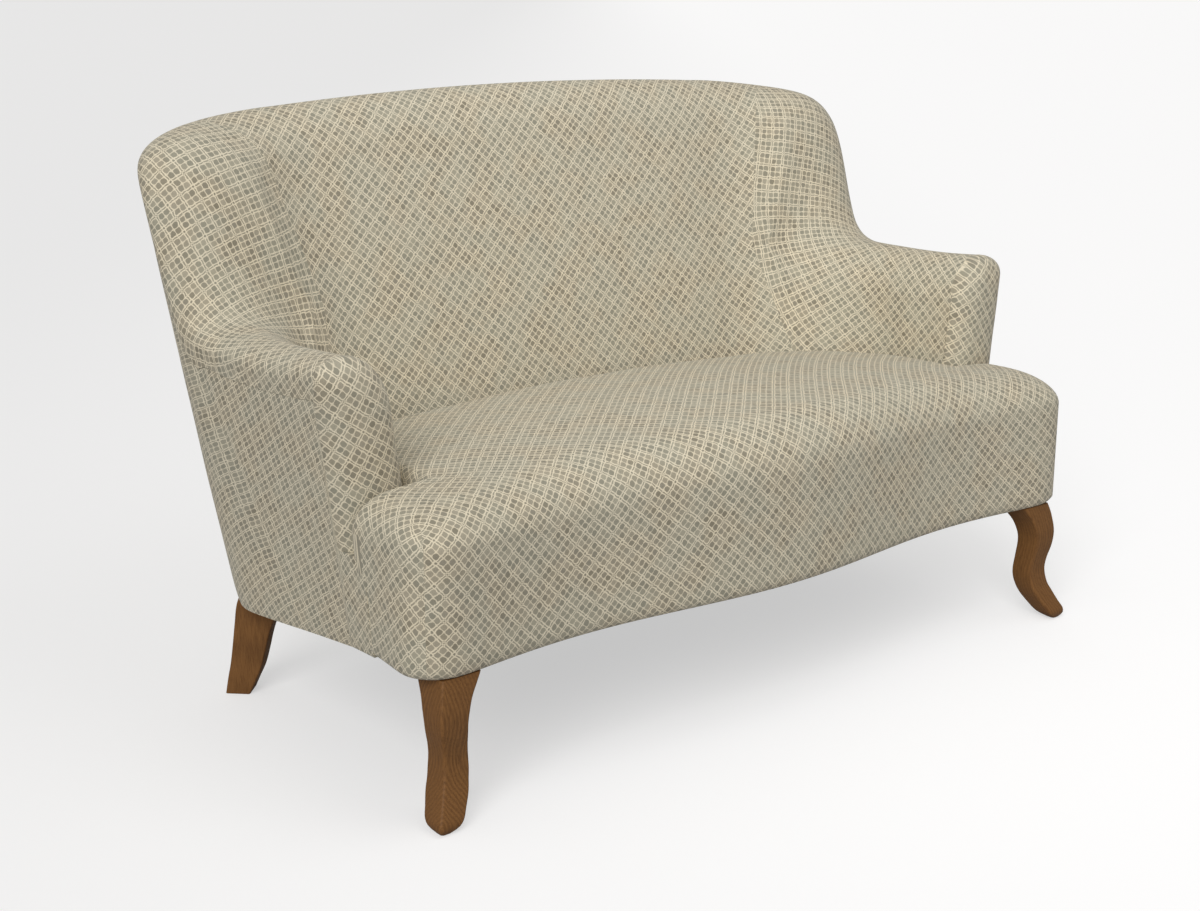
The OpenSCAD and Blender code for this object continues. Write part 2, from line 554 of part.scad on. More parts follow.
// Arms: a leaning post behind each padded front, another ahead of the wing, and two rails between them
arm_post_d = 38;
arm_post_y = [-arm_reach + ease, -arm_reach + ease + arm_post_d];
wing_post_at = 28;
wing_post_d = 34;
wing_post_y = [wing_post_at, wing_post_at + wing_post_d];
arm_post_top = arm_h - pad_top - 4 * ease;
function side_face(z, y) = side_x(z, y) - frame_in;
module arm_stile(ys) color(oak) difference() {
    lengthwise([[side_face(rail_top, ys[0]) - rail_t, rail_top + gap],
        [side_face(rail_top, ys[0]), rail_top + gap], [side_face(arm_post_top, ys[0]), arm_post_top],
        [side_face(arm_post_top, ys[0]) - rail_t, arm_post_top]], ys[0], ys[1]);
    dowels(gap / 2);
}
module left_arm_post() sided(-1) arm_stile(arm_post_y);
module right_arm_post() sided(1) arm_stile(arm_post_y);
module left_wing_post() sided(-1) arm_stile(wing_post_y);
module right_wing_post() sided(1) arm_stile(wing_post_y);
arm_ys = [arm_post_y[1] + gap, wing_post_y[0] - gap];
module arm_board(side, z, h) color(oak) sided(side) upright([[side_face(z, arm_ys[0]) - board_t, arm_ys[0]],
    [side_face(z, arm_ys[0]), arm_ys[0]], [side_face(z, arm_ys[1]), arm_ys[1]],
    [side_face(z, arm_ys[1]) - board_t, arm_ys[1]]], z, z + h);
arm_rail_h = 36;
module left_arm_rail() arm_board(-1, arm_post_top - arm_rail_h, arm_rail_h);
module right_arm_rail() arm_board(1, arm_post_top - arm_rail_h, arm_rail_h);
module left_arm_tack_rail() arm_board(-1, tack_z, tack_h);
module right_arm_tack_rail() arm_board(1, tack_z, tack_h);

// Dowels at the feet and heads of the posts
dowel_d = 6;
dowel_half = 18;
dowel_in = 7;
function dowel_x(ys) = side_face(rail_top, ys[0]) - rail_t + dowel_in;
function dowel_places() = [
    for (s = [-1, 1], ys = [arm_post_y, wing_post_y]) [s * dowel_x(ys), (ys[0] + ys[1]) / 2, rail_top],
    for (x = [-post_x, 0, post_x], z = [rail_top, top_rail_z]) [x, back_face(z) - board_t / 2, z]];
module dowels(room) for (p = dowel_places()) translate([p[0], p[1], p[2] - dowel_half - room])
    cylinder(h = 2 * (dowel_half + room), d = dowel_d + 2 * room, $fn = 24);
module frame_dowels() color("tan") dowels(0);

// Leg bolts, drawn up through a steel plate under each block
bolt_d = 8;
bolt_in_leg = 30;
bolt_in_block = 40;
plate_t = 1.7;
plate_w = 32;
bolt_share = 0.75;
bolt_x = leg_x - bolt_share * leg_w;
bolt_y = leg_y + bolt_share * leg_w;
rear_bolt_share = 0.68;
rear_bolt_x = foot_x - rear_bolt_share * rear_leg_w * cos(45);
rear_bolt_y = foot_y - rear_bolt_share * rear_leg_w * sin(45);
module bolt_at(x, y, z, room) translate([x, y, z - bolt_in_leg - room])
    cylinder(h = bolt_in_leg + bolt_in_block + 2 * room, d = bolt_d + 2 * room, $fn = 32);
module front_bolt(room) bolt_at(bolt_x, bolt_y, front_clear, room);
module rear_bolt(room) bolt_at(rear_bolt_x, rear_bolt_y, bottom_z(rear_bolt_y), room);
module leg_bolts() color("silver") for (s = [-1, 1]) sided(s) {
    front_bolt(0);
    rear_bolt(0);
}
module leg_plates() color("silver") for (s = [-1, 1]) sided(s) {
    difference() {
        intersection() {
            translate([bolt_x - plate_w / 2, bolt_y - plate_w / 2, leg_h + gap])
                cube([plate_w, plate_w, plate_t]);
            within_border(gap);
        }
        front_bolt(gap);
    }
    difference() {
        intersection() {
            translate([rear_bolt_x, rear_bolt_y, 0]) rotate([0, 0, 45])
                translate([-plate_w / 2, -plate_w / 2, 0]) cube([plate_w, plate_w, back_h]);
            below(plate_t - rear_drop);
            rear_plan();
        }
        below(-rear_drop);
        rear_bolt(gap);
    }
}

// Screws that hold the front blocks to the rails
screw_d = 4.5;
screw_len = 78;
screw_low = 34;
screw_step = 52;
screw_shift = 16;
screw_in = 12;
module front_screws(room) for (z = [front_clear + screw_low, front_clear + screw_low + screw_step]) {
    translate([block_x1 - screw_in, block_y0 - room, z]) rotate([-90, 0, 0])
        cylinder(h = screw_len + 2 * room, d = screw_d + 2 * room, $fn = 24);
    translate([block_x1 + room, block_y0 + screw_in, z + screw_shift]) rotate([0, -90, 0])
        cylinder(h = screw_len + 2 * room, d = screw_d + 2 * room, $fn = 24);
}
module block_screws() color("silver") for (s = [-1, 1]) sided(s) front_screws(0);

// Suspension: zigzag springs held by clips on the front and rear rails, under a platform cloth and felt
wire = 3.8;
spring_half = 24;
spring_bars = 19;
spring_count = 8;
spring_step = 130;
bend_cut = 6;
spring_y1 = back_face(rail_top) - rail_t / 2;
function spring_y0(x) = front_y(x) + rail_front + rail_t / 2;
function spring_places() = [for (i = [0:spring_count - 1]) (i - (spring_count - 1) / 2) * spring_step];
// One bend of a spring, on its outer side (e above zero) or on its inner side
function bend(k, y0, e, c) = let (s = k % 2 == 0 ? 1 : -1, a = lerp(y0, spring_y1, k / (spring_bars - 1)) - e,
    b = lerp(y0, spring_y1, (k + 1) / (spring_bars - 1)) + e, x = spring_half + e)
    [[s * (x - c), a], [s * x, a + c], [s * x, b - c], [s * (x - c), b]];
bend_share = 0.586;
function spring_edge(y0, side) = concat([[-spring_half, y0 - side * wire / 2]],
    [for (k = [0:spring_bars - 2]) let (out = (k % 2 == 0) == (side > 0))
        each bend(k, y0, (out ? wire : -wire) / 2, out ? bend_cut : bend_cut - wire * bend_share)],
    [[spring_half, spring_y1 - side * wire / 2]]);
module spring(y0) let (back = spring_edge(y0, -1)) upright(concat(spring_edge(y0, 1),
    [for (k = [len(back) - 1:-1:0]) back[k]]), rail_top + gap, rail_top + gap + wire);
module seat_springs() color("dimgray") for (x = spring_places()) translate([x, 0, 0]) spring(spring_y0(x));
clip_w = 14;
clip_t = 1.5;
clip_in = wire / 2 + gap;
clip_out = clip_in + clip_t;
module clip() across([[-clip_out, 0], [-clip_in, 0], [-clip_in, wire + gap], [clip_in, wire + gap],
    [clip_in, 0], [clip_out, 0], [clip_out, wire + gap + clip_t], [-clip_out, wire + gap + clip_t]],
    -clip_w / 2, clip_w / 2);
module spring_clips() color("silver") for (x = spring_places()) {
    translate([x, spring_y0(x), rail_top + gap]) clip();
    translate([x, spring_y1, rail_top + gap]) clip();
}
cloth_t = 1.5;
cloth_in = 12;
cloth_z = rail_top + wire + clip_t + 3 * gap;
deck_half = block_x1 - rail_t - cloth_in;
deck_far = back_face(rail_top) - board_t - ease;
module deck_sheet(z0, z1) upright(concat(rail_line(rail_front + cloth_in), [[-deck_half, block_y0 + cloth_in],
    [-deck_half, rear_low[1]], [-post_x, deck_far], [post_x, deck_far], [deck_half, rear_low[1]],
    [deck_half, block_y0 + cloth_in]]), z0, z1);
module platform_cloth() color("#6b6558") deck_sheet(cloth_z, cloth_z + cloth_t);
module platform_felt() color("#c9c1ae") deck_sheet(cloth_z + cloth_t + gap, deck_h - gap);

// Webbing on the front of the back frame
web_w = 50;
web_t = 1.5;
web_step = 105;
web_top = top_rail_z + top_rail_h / 2;
function web_face(z) = back_face(z) - board_t - gap;
module back_webbing() color("#7a6a4c") for (x = [-3, -2, -1, 1, 2, 3] * web_step)
    across([[web_face(tack_z) - web_t, tack_z], [web_face(web_top) - web_t, web_top],
        [web_face(web_top), web_top], [web_face(tack_z), tack_z]], x - web_w / 2, x + web_w / 2);

// Dust cover under the frame, cut away round the legs
dust_t = 1.2;
dust_gap = 0.4;
dust_in = 12;
dust_corner = 30;
dust_half = block_x0 - dust_in;
dust_side = block_x1 - rail_t / 2;
dust_far = back_face(rear_z) - rail_t / 2;
dust_bend = rear_high[0] - dust_corner + dust_far - rear_high[1];
function dust_z(y) = bottom_z(y) + dust_gap;
module dust_cover() color("#2b2a28") intersection() {
    across([for (y = [-front_reach, -seam_reach, dust_far]) [y, dust_z(y)],
        for (y = [dust_far, -seam_reach, -front_reach]) [y, dust_z(y) + dust_t]], -base_w / 2, base_w / 2);
    upright(concat([for (p = rail_line(rail_front + rail_t / 2)) if (abs(p[0]) < dust_half) p],
        [[-dust_half, block_y1 + dust_in], [-dust_side, block_y1 + dust_in],
        [-dust_side, rear_low[1] - dust_corner], [-dust_bend, dust_far], [dust_bend, dust_far],
        [dust_side, rear_low[1] - dust_corner], [dust_side, block_y1 + dust_in],
        [dust_half, block_y1 + dust_in]]), 0, deck_h);
}

front_left_leg();
front_right_leg();
rear_left_leg();
rear_right_leg();
leg_bolts();
leg_plates();
front_rail();
rear_rail();
left_side_rail();
right_side_rail();
seat_stretcher();
front_left_block();
front_right_block();
rear_left_block();
rear_right_block();
block_screws();
left_arm_post();
right_arm_post();
left_wing_post();
right_wing_post();
left_arm_rail();
right_arm_rail();
left_arm_tack_rail();
right_arm_tack_rail();
left_back_post();
centre_back_post();
right_back_post();
left_back_tack_rail();
right_back_tack_rail();
top_rail();
left_wing_rail();
right_wing_rail();
left_wing_stile();
right_wing_stile();
frame_dowels();
seat_springs();
spring_clips();
platform_cloth();
platform_felt();
back_webbing();
seat_pad();
front_border_pad();
inside_back_pad();
left_arm_pad();
right_arm_pad();
left_arm_facing();
right_arm_facing();
outside_back_cover();
left_outside_arm_cover();
right_outside_arm_cover();
dust_cover();
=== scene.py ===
# %% [markdown]
# # A cabriole sofa, dressed over its CAD frame
#
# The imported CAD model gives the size, the place and the collision of every piece. This script gives the looks:
# soft covers built from the same curves as the CAD pads, a woven trellis fabric, turned-out oak legs, a studio
# floor and a camera at the photograph's angle. All lengths in the shape functions are in millimetres, as in the
# CAD source, and `MM` turns them into metres when a mesh is made.

# %%
import json
import math

import bpy
import numpy as np
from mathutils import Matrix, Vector


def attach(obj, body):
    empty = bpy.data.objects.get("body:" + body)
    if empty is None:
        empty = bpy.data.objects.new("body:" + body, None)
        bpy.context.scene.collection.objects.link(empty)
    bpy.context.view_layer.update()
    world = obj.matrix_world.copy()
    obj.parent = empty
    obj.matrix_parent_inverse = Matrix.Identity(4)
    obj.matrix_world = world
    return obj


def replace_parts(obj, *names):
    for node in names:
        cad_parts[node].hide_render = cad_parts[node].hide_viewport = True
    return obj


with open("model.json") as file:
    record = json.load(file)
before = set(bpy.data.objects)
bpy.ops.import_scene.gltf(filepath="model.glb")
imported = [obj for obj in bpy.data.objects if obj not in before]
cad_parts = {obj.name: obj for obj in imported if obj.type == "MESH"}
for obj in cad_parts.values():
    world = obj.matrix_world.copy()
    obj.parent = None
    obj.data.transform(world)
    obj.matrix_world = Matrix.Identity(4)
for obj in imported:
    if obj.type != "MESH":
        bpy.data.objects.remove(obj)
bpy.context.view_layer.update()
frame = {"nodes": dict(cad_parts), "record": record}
nodes = frame["nodes"]

# %% [markdown]
# ## The shape of the body
#
# A wrapped sofa is easiest to see as one shell. The number `u` walks along it in plan: 0 is the middle of the back,
# 1 the start of a rear corner, 2 the end of that corner, 3 the seam of the arm front and 4 the side seam of the
# front border. At each `u` and height `z`, rays run outward from a hub to the outside and the inside of the shell.

# %%
MM = 0.001
BACK_H, ARM_H, SEAT_H, BASE_W = 869.0, 578.0, 441.0, 1280.0
BACK_REACH, FRONT_REACH, CLEAR = 255.0, 380.0, 198.0
CORNER_R, INNER_R, BOW, TAPER, ARM_REACH = 162.0, 200.0, 20.0, 13.0, 171.0
SEAT_W, SEAT_REACH, SEAT_SIDE_H, NOSE = 1090.0, 157.0, 410.0, 78.0
FRONT_HALF, SERPENTINE, WAVE, FRONT_R = 645.0, 32.0, 760.0, 55.0
DECK, SEAM, GAP, COVER_T, PAD_OUT, ROOM, PAD_TOP = 332.0, 235.0, 0.3, 14.0, 15.0, 38.0, 28.0
PAD_FOOT, TACK_DROP, SWELL, BORDER_T = SEAT_SIDE_H - 48.0, 22.0, 33.0, 18.0
BOTTOM_FALL, SIDE_LEAN, BACK_LEAN, ARM_LEAN, BACK_RAKE = 5, 6.5, 10.8, 7.5, 16.5
CREST_FALL, CORNER_FALL, ARM_RISE, SWEEP_LENGTH = 13, 38, 8, 18.5
ROLL_OUT, ROLL_IN = (30, 45), (72, 60)
HUB_SHARE = 0.62
HUB_X, HUB_TOP = SEAT_W / 2 - INNER_R * HUB_SHARE, SEAT_REACH + 8.0


def mix(a, b, t):
    return a + (b - a) * t


def tan(degrees):
    return math.tan(math.radians(degrees))


def hub_y(z):
    return HUB_TOP - np.maximum(0, ARM_H - z) * 0.6


def bottom_z(y):
    return CLEAR - tan(BOTTOM_FALL) * np.maximum(0, y + SEAM)


def out_half(z):
    return BASE_W / 2 + tan(SIDE_LEAN) * (z - CLEAR)


def out_back(z):
    return BACK_REACH + tan(BACK_LEAN) * (z - CLEAR)


def in_half(z):
    return SEAT_W / 2 + tan(ARM_LEAN) * (z - SEAT_SIDE_H)


def in_back(z):
    return SEAT_REACH + tan(BACK_RAKE) * (z - SEAT_SIDE_H)


def side_x(z, y):
    """Half width of the body, whose sides stand upright at the front corners."""
    side = out_half(z) - TAPER * np.maximum(0, HUB_TOP - y) / (HUB_TOP + ARM_REACH)
    return mix(side, FRONT_HALF, np.clip((-ARM_REACH - y) / (FRONT_REACH - FRONT_R - ARM_REACH), 0, 1))


def ray(u, z):
    """Start and direction of the ray at u, as (bx, by, dx, dy)."""
    hub = hub_y(z)
    bx = np.where(u <= 1, HUB_X * u, np.where(u <= 2, HUB_X, 0.0))
    arm = np.where(u <= 3, mix(hub, -ARM_REACH, u - 2), mix(-ARM_REACH, -SEAM, u - 3))
    by = np.where(u <= 1, 0.0, np.where(u <= 2, hub, arm))
    a = np.radians(90 * (2 - np.clip(u, 1, 2)))
    return bx, by, np.cos(a), np.sin(a)


def reach(bx, by, dx, dy, half, back, r):
    """Distance along a ray to a rectangle with one rounded corner."""
    cx, cy = half - r, back - r
    ox, oy = bx - cx, by - cy
    m = ox * dx + oy * dy
    s = m * m - ox * ox - oy * oy + r * r
    t = np.where(s < 0, 0, np.sqrt(np.maximum(s, 0)) - m)
    side = (half - bx) / np.maximum(dx, 1e-9)
    rear = (back - by) / np.maximum(dy, 1e-9)
    corner = (s >= 0) & (bx + t * dx >= cx) & (by + t * dy >= cy)
    return np.where(corner, t, np.where((dx > 1e-9) & (by + side * dy <= cy), side, rear))


def bow(u, half):
    return BOW * (HUB_X * np.minimum(u, 1) / half) ** 2


def outer(u, z, inset=0.0, skin=True):
    """Distance to the outside. Where the side runs into a rear corner, a skin follows the taper smoothly, while the
    linings end it at 2, as the CAD does."""
    bx, by, dx, dy = ray(u, z)
    half = np.where(u > 2, side_x(z, by), out_half(z)) - inset
    back = out_back(z) - bow(u, out_half(z)) - inset
    r = CORNER_R + (z - CLEAR) * 0.06 - inset
    d = reach(bx, by, dx, dy, half, back, r)
    if skin:
        y = np.minimum(by + d * dy, HUB_TOP)
        half = np.where(u > 1, side_x(z, y), out_half(z)) - inset
        d = reach(bx, by, dx, dy, half, back, r)
    return d


def inner(u, z):
    bx, by, dx, dy = ray(u, z)
    return reach(bx, by, dx, dy, in_half(z), in_back(z) - bow(u, in_half(z)), INNER_R)


def at(u, z, d):
    """Point of the shell on the right-hand half, for arrays of u, z and distance."""
    bx, by, dx, dy = ray(u, z)
    return np.stack([bx + dx * d, by + dy * d, z + 0 * d], -1)


def along(u):
    return np.where(u < 2, -(2 - u) * INNER_R * math.pi / 2, (u - 2) * (HUB_TOP + ARM_REACH))


def crest(u):
    return BACK_H - CREST_FALL * np.minimum(u, 1) ** 2 - CORNER_FALL * np.maximum(0, u - 1) ** 1.5


def arm_top(u):
    return ARM_H + ARM_RISE * (np.maximum(0, u - 2.5) * 2) ** 2


def sweep(u):
    return 1 / (1 + np.exp((along(u) + 5) / SWEEP_LENGTH))


def top(u):
    return mix(arm_top(u), crest(np.minimum(u, 2)), sweep(u))


def slope(u):
    """Fall of the top edge, for each millimetre along it."""
    s = sweep(u)
    return (crest(np.minimum(u, 2)) - arm_top(u)) * s * (1 - s) / SWEEP_LENGTH


def rolls(u):
    """How far the padding rolls down from the top edge outside and inside, taller where the edge is steep."""
    steep = np.sqrt(1 + slope(u) ** 2)
    return mix(*ROLL_OUT, sweep(u)) * steep, mix(*ROLL_IN, sweep(u)) * steep


for place, u in (("middle", 0.0), ("corner", 2.0), ("arm front", 3.0)):
    print("top edge at the", place, "in mm:", round(float(top(np.array(u)))))


# %% [markdown]
# ## Meshes from grids
#
# Each cover is a closed shell: a grid of points on its face, a lining behind it and strips that join the two. A
# bmesh could be extruded and bent by hand, but no operator follows the leaning, sweeping curves above, so the points
# are worked out from them. The strips meet the face at creased, sharp edges, so a subdivision surface keeps the
# seams crisp. Every face point also gets a place on the cloth, which becomes the UV map that the weave follows.

# %%
def make(name, points, faces, uvs, sharp=(), material=None, levels=1):
    """A mesh object from points in mm, faces, one (u, v) in mm for each corner of each face, and sharp edges."""
    mesh = bpy.data.meshes.new(name)
    mesh.from_pydata((np.asarray(points, float) * MM).tolist(), [], [list(map(int, f)) for f in faces])
    layer = mesh.uv_layers.new(name="cloth")
    layer.uv.foreach_set("vector", (np.asarray(uvs, np.float32) * MM).ravel())
    mesh.polygons.foreach_set("use_smooth", [True] * len(mesh.polygons))
    if len(sharp):
        wanted = {tuple(sorted(map(int, e))) for e in sharp}
        flags = [tuple(sorted(e.vertices)) in wanted for e in mesh.edges]
        mesh.attributes.new("sharp_edge", "BOOLEAN", "EDGE").data.foreach_set("value", flags)
        mesh.attributes.new("crease_edge", "FLOAT", "EDGE").data.foreach_set("value", [float(f) for f in flags])
    mesh.validate()
    obj = bpy.data.objects.new(name, mesh)
    bpy.context.scene.collection.objects.link(obj)
    if levels:
        sub = obj.modifiers.new("soft", "SUBSURF")
        sub.levels = sub.render_levels = levels
        sub.boundary_smooth = "PRESERVE_CORNERS"
    if material:
        mesh.materials.append(material)
    return obj


def shell(name, skin, lining, cloth, material, levels=1):
    """A closed thick sheet between two grids of points, (n, m, 3) each; cloth is (n, m, 2) for the skin."""
    n, m = skin.shape[:2]
    q = n * m
    idx = np.arange(q).reshape(n, m)
    points = np.concatenate([skin.reshape(-1, 3), lining.reshape(-1, 3)])
    quads = np.stack([idx[:-1, :-1], idx[1:, :-1], idx[1:, 1:], idx[:-1, 1:]], -1).reshape(-1, 4)
    faces = [quads, quads[:, ::-1] + q]
    ring = np.concatenate([idx[0, :-1], idx[:-1, -1], idx[-1, :0:-1], idx[:0:-1, 0]])
    nxt = np.roll(ring, -1)
    faces.append(np.stack([ring, nxt, nxt + q, ring + q], -1))
    faces = np.concatenate(faces)
    a, b, c = points[faces[0][0]], points[faces[0][1]], points[faces[0][2]]
    flat = cloth.reshape(-1, 2)
    uvs = flat[faces % q]
    if (np.cross(b - a, c - a) * (points[faces[0][0]] - points[faces[0][0] + q])).sum() < 0:
        faces, uvs = faces[:, ::-1], uvs[:, ::-1]
    sharp = list(zip(ring, nxt)) + list(zip(ring + q, nxt + q))
    return make(name, points, faces, uvs.reshape(-1, 2), sharp, material, levels)


def unwrap(obj, faces, anchor, seams=()):
    """Flattens the faces of a cover with the least stretch, as a cutter would, and lays the result on the anchor
    faces' own coordinates, so that the weave keeps its true size there and stands upright."""
    mesh = obj.data
    layer = mesh.uv_layers["cloth"].uv
    loops = len(mesh.loops)
    planned = np.empty(loops * 2, np.float32)
    layer.foreach_get("vector", planned)
    flags = np.zeros(len(mesh.polygons), bool)
    flags[faces] = True
    mesh.polygons.foreach_set("select", flags)
    cut = {tuple(sorted(map(int, e))) for e in seams}
    mesh.edges.foreach_set("use_seam", [tuple(sorted(e.vertices)) in cut for e in mesh.edges])
    bpy.context.view_layer.objects.active = obj
    obj.select_set(True)
    bpy.context.tool_settings.mesh_select_mode = (False, False, True)
    bpy.ops.object.mode_set(mode="EDIT")
    bpy.ops.uv.unwrap(method="MINIMUM_STRETCH", iterations=12, margin=0.0)
    bpy.ops.object.mode_set(mode="OBJECT")
    obj.select_set(False)
    layer = mesh.uv_layers["cloth"].uv
    found = np.empty(loops * 2, np.float32)
    layer.foreach_get("vector", found)
    first = np.empty(len(mesh.polygons), np.int32)
    mesh.polygons.foreach_get("loop_start", first)
    held = np.concatenate([np.arange(first[f], first[f] + 4) for f in anchor])
    scaled = np.array([f for f in faces if mesh.polygons[f].loop_total == 4])
    z, w = (v.reshape(-1, 2).astype(float) @ [1, 1j] for v in (found, planned))
    zm, wm = z[held].mean(), w[held].mean()
    turn = (np.conj(z[held] - zm) * (w[held] - wm)).sum()
    size = np.empty(len(mesh.polygons), np.float32)
    mesh.polygons.foreach_get("area", size)
    quads = z[np.add.outer(first[scaled], np.arange(4))]
    flat = abs(((quads[:, 2] - quads[:, 0]) * np.conj(quads[:, 3] - quads[:, 1])).imag) / 2
    ratio = np.sqrt(size[scaled] / np.maximum(flat, 1e-12))
    turn = turn / abs(turn) * np.sqrt(size[scaled].sum() / flat.sum())
    print("cover", obj.name, "stretch left:", np.percentile(ratio / abs(turn), (2, 25, 50, 75, 98)).round(3))
    z = (z - zm) * turn + wm
    moved = np.concatenate([np.arange(first[f], first[f] + mesh.polygons[f].loop_total) for f in faces])
    w[moved] = z[moved]
    layer.foreach_set("vector", np.stack([w.real, w.imag], -1).astype(np.float32).ravel())


# %% [markdown]
# Real padding is never quite even. A sum of a few long, shallow waves, with a fixed seed, moves the points of a
# cover by less than a millimetre or so. It costs nothing, and it gives the same dents in every run.

# %%
def soften(points, size, height, seed):
    """Moves points a little, by smooth waves, for the unevenness of padding under cloth. In mm."""
    rng = np.random.default_rng(seed)
    out = np.zeros(points.shape[:-1])
    for k in range(6):
        way = rng.normal(size=3)
        way *= 2 * math.pi / (size * rng.uniform(0.7, 1.6)) / np.linalg.norm(way)
        out += np.sin(points @ way + rng.uniform(0, 6.28))
    return out * height / 6 ** 0.5


# %% [markdown]
# ## The cloth
#
# The weave is a diamond trellis: pairs of fine cream lines on the two diagonals, and in each diamond four rounded
# taupe petals with a cream cross between them. Where lines cross there is in turn one dot and a ring of four tiny
# ones. Folding the cloth's coordinates with ping-pong nodes puts every repeat on one small piece of plane. The two
# coordinates `a` and `b` run square to the trellis lines.

# %%
class Graph:
    """Short names for the shader nodes of one material."""

    def __init__(self, name):
        self.material = bpy.data.materials.new(name)
        self.material.use_nodes = True
        self.tree = self.material.node_tree
        self.shader = self.tree.nodes["Principled BSDF"]

    def node(self, kind, **options):
        n = self.tree.nodes.new(kind)
        for key, value in options.items():
            setattr(n, key, value)
        return n

    def put(self, value, socket):
        if isinstance(value, bpy.types.NodeSocket):
            self.tree.links.new(value, socket)
        else:
            socket.default_value = value

    def math(self, what, *values):
        n = self.node("ShaderNodeMath", operation=what)
        for value, socket in zip(values, n.inputs):
            self.put(value, socket)
        return n.outputs[0]

    def step(self, value, low, high):
        """0 below low and 1 above high, with a smooth passage. Low may be the larger one."""
        n = self.node("ShaderNodeMapRange", interpolation_type="SMOOTHSTEP")
        turned = low > high
        for key, x in (("Value", value), ("From Min", min(low, high)), ("From Max", max(low, high)),
                       ("To Min", 1.0 if turned else 0.0), ("To Max", 0.0 if turned else 1.0)):
            self.put(x, n.inputs[key])
        return n.outputs[0]

    def colours(self, share, a, b, blend="MIX"):
        n = self.node("ShaderNodeMix", data_type="RGBA", blend_type=blend)
        for value, socket in zip((share, a, b), (n.inputs[0], n.inputs[6], n.inputs[7])):
            self.put(value, socket)
        return n.outputs[2]

    def noise(self, vector, scale, detail=2.0, rough=0.5):
        n = self.node("ShaderNodeTexNoise")
        self.put(vector, n.inputs["Vector"])
        n.inputs["Scale"].default_value, n.inputs["Detail"].default_value = scale, detail
        n.inputs["Roughness"].default_value = rough
        return n.outputs["Fac"]

    def bump(self, height, strength, distance):
        n = self.node("ShaderNodeBump")
        self.put(height, n.inputs["Height"])
        n.inputs["Strength"].default_value, n.inputs["Distance"].default_value = strength, distance
        self.tree.links.new(n.outputs[0], self.shader.inputs["Normal"])


def srgb(r, g, b):
    return tuple(((c / 255 + 0.055) / 1.055) ** 2.4 if c > 10 else c / 255 / 12.92 for c in (r, g, b)) + (1.0,)


# %% [markdown]
# The colours and the size of one repeat come from the photograph and the sofa's size. The places and sizes of the
# lines, petals and dots are shares of a repeat, and each pair says where a part has faded out and where it is full.

# %%
CREAM, GROUND, TAUPE = (220, 211, 189), (197, 190, 169), (148, 142, 127)
REPEAT = (0.031, 0.030)
LINE_PLACE, LINE_FADE, GAP_FADE = 0.08, (0.048, 0.018), (0.058, 0.03)
PETAL_PLACE, PETAL_FADE, PETAL_POWER, CROSS_FADE = 0.206, (0.222, 0.162), 2.2, (0.045, 0.008)
DOT_FADE, RING_FADE, TINY_PLACE, TINY_FADE = (0.075, 0.035), (0.125, 0.085), 0.082, (0.042, 0.012)


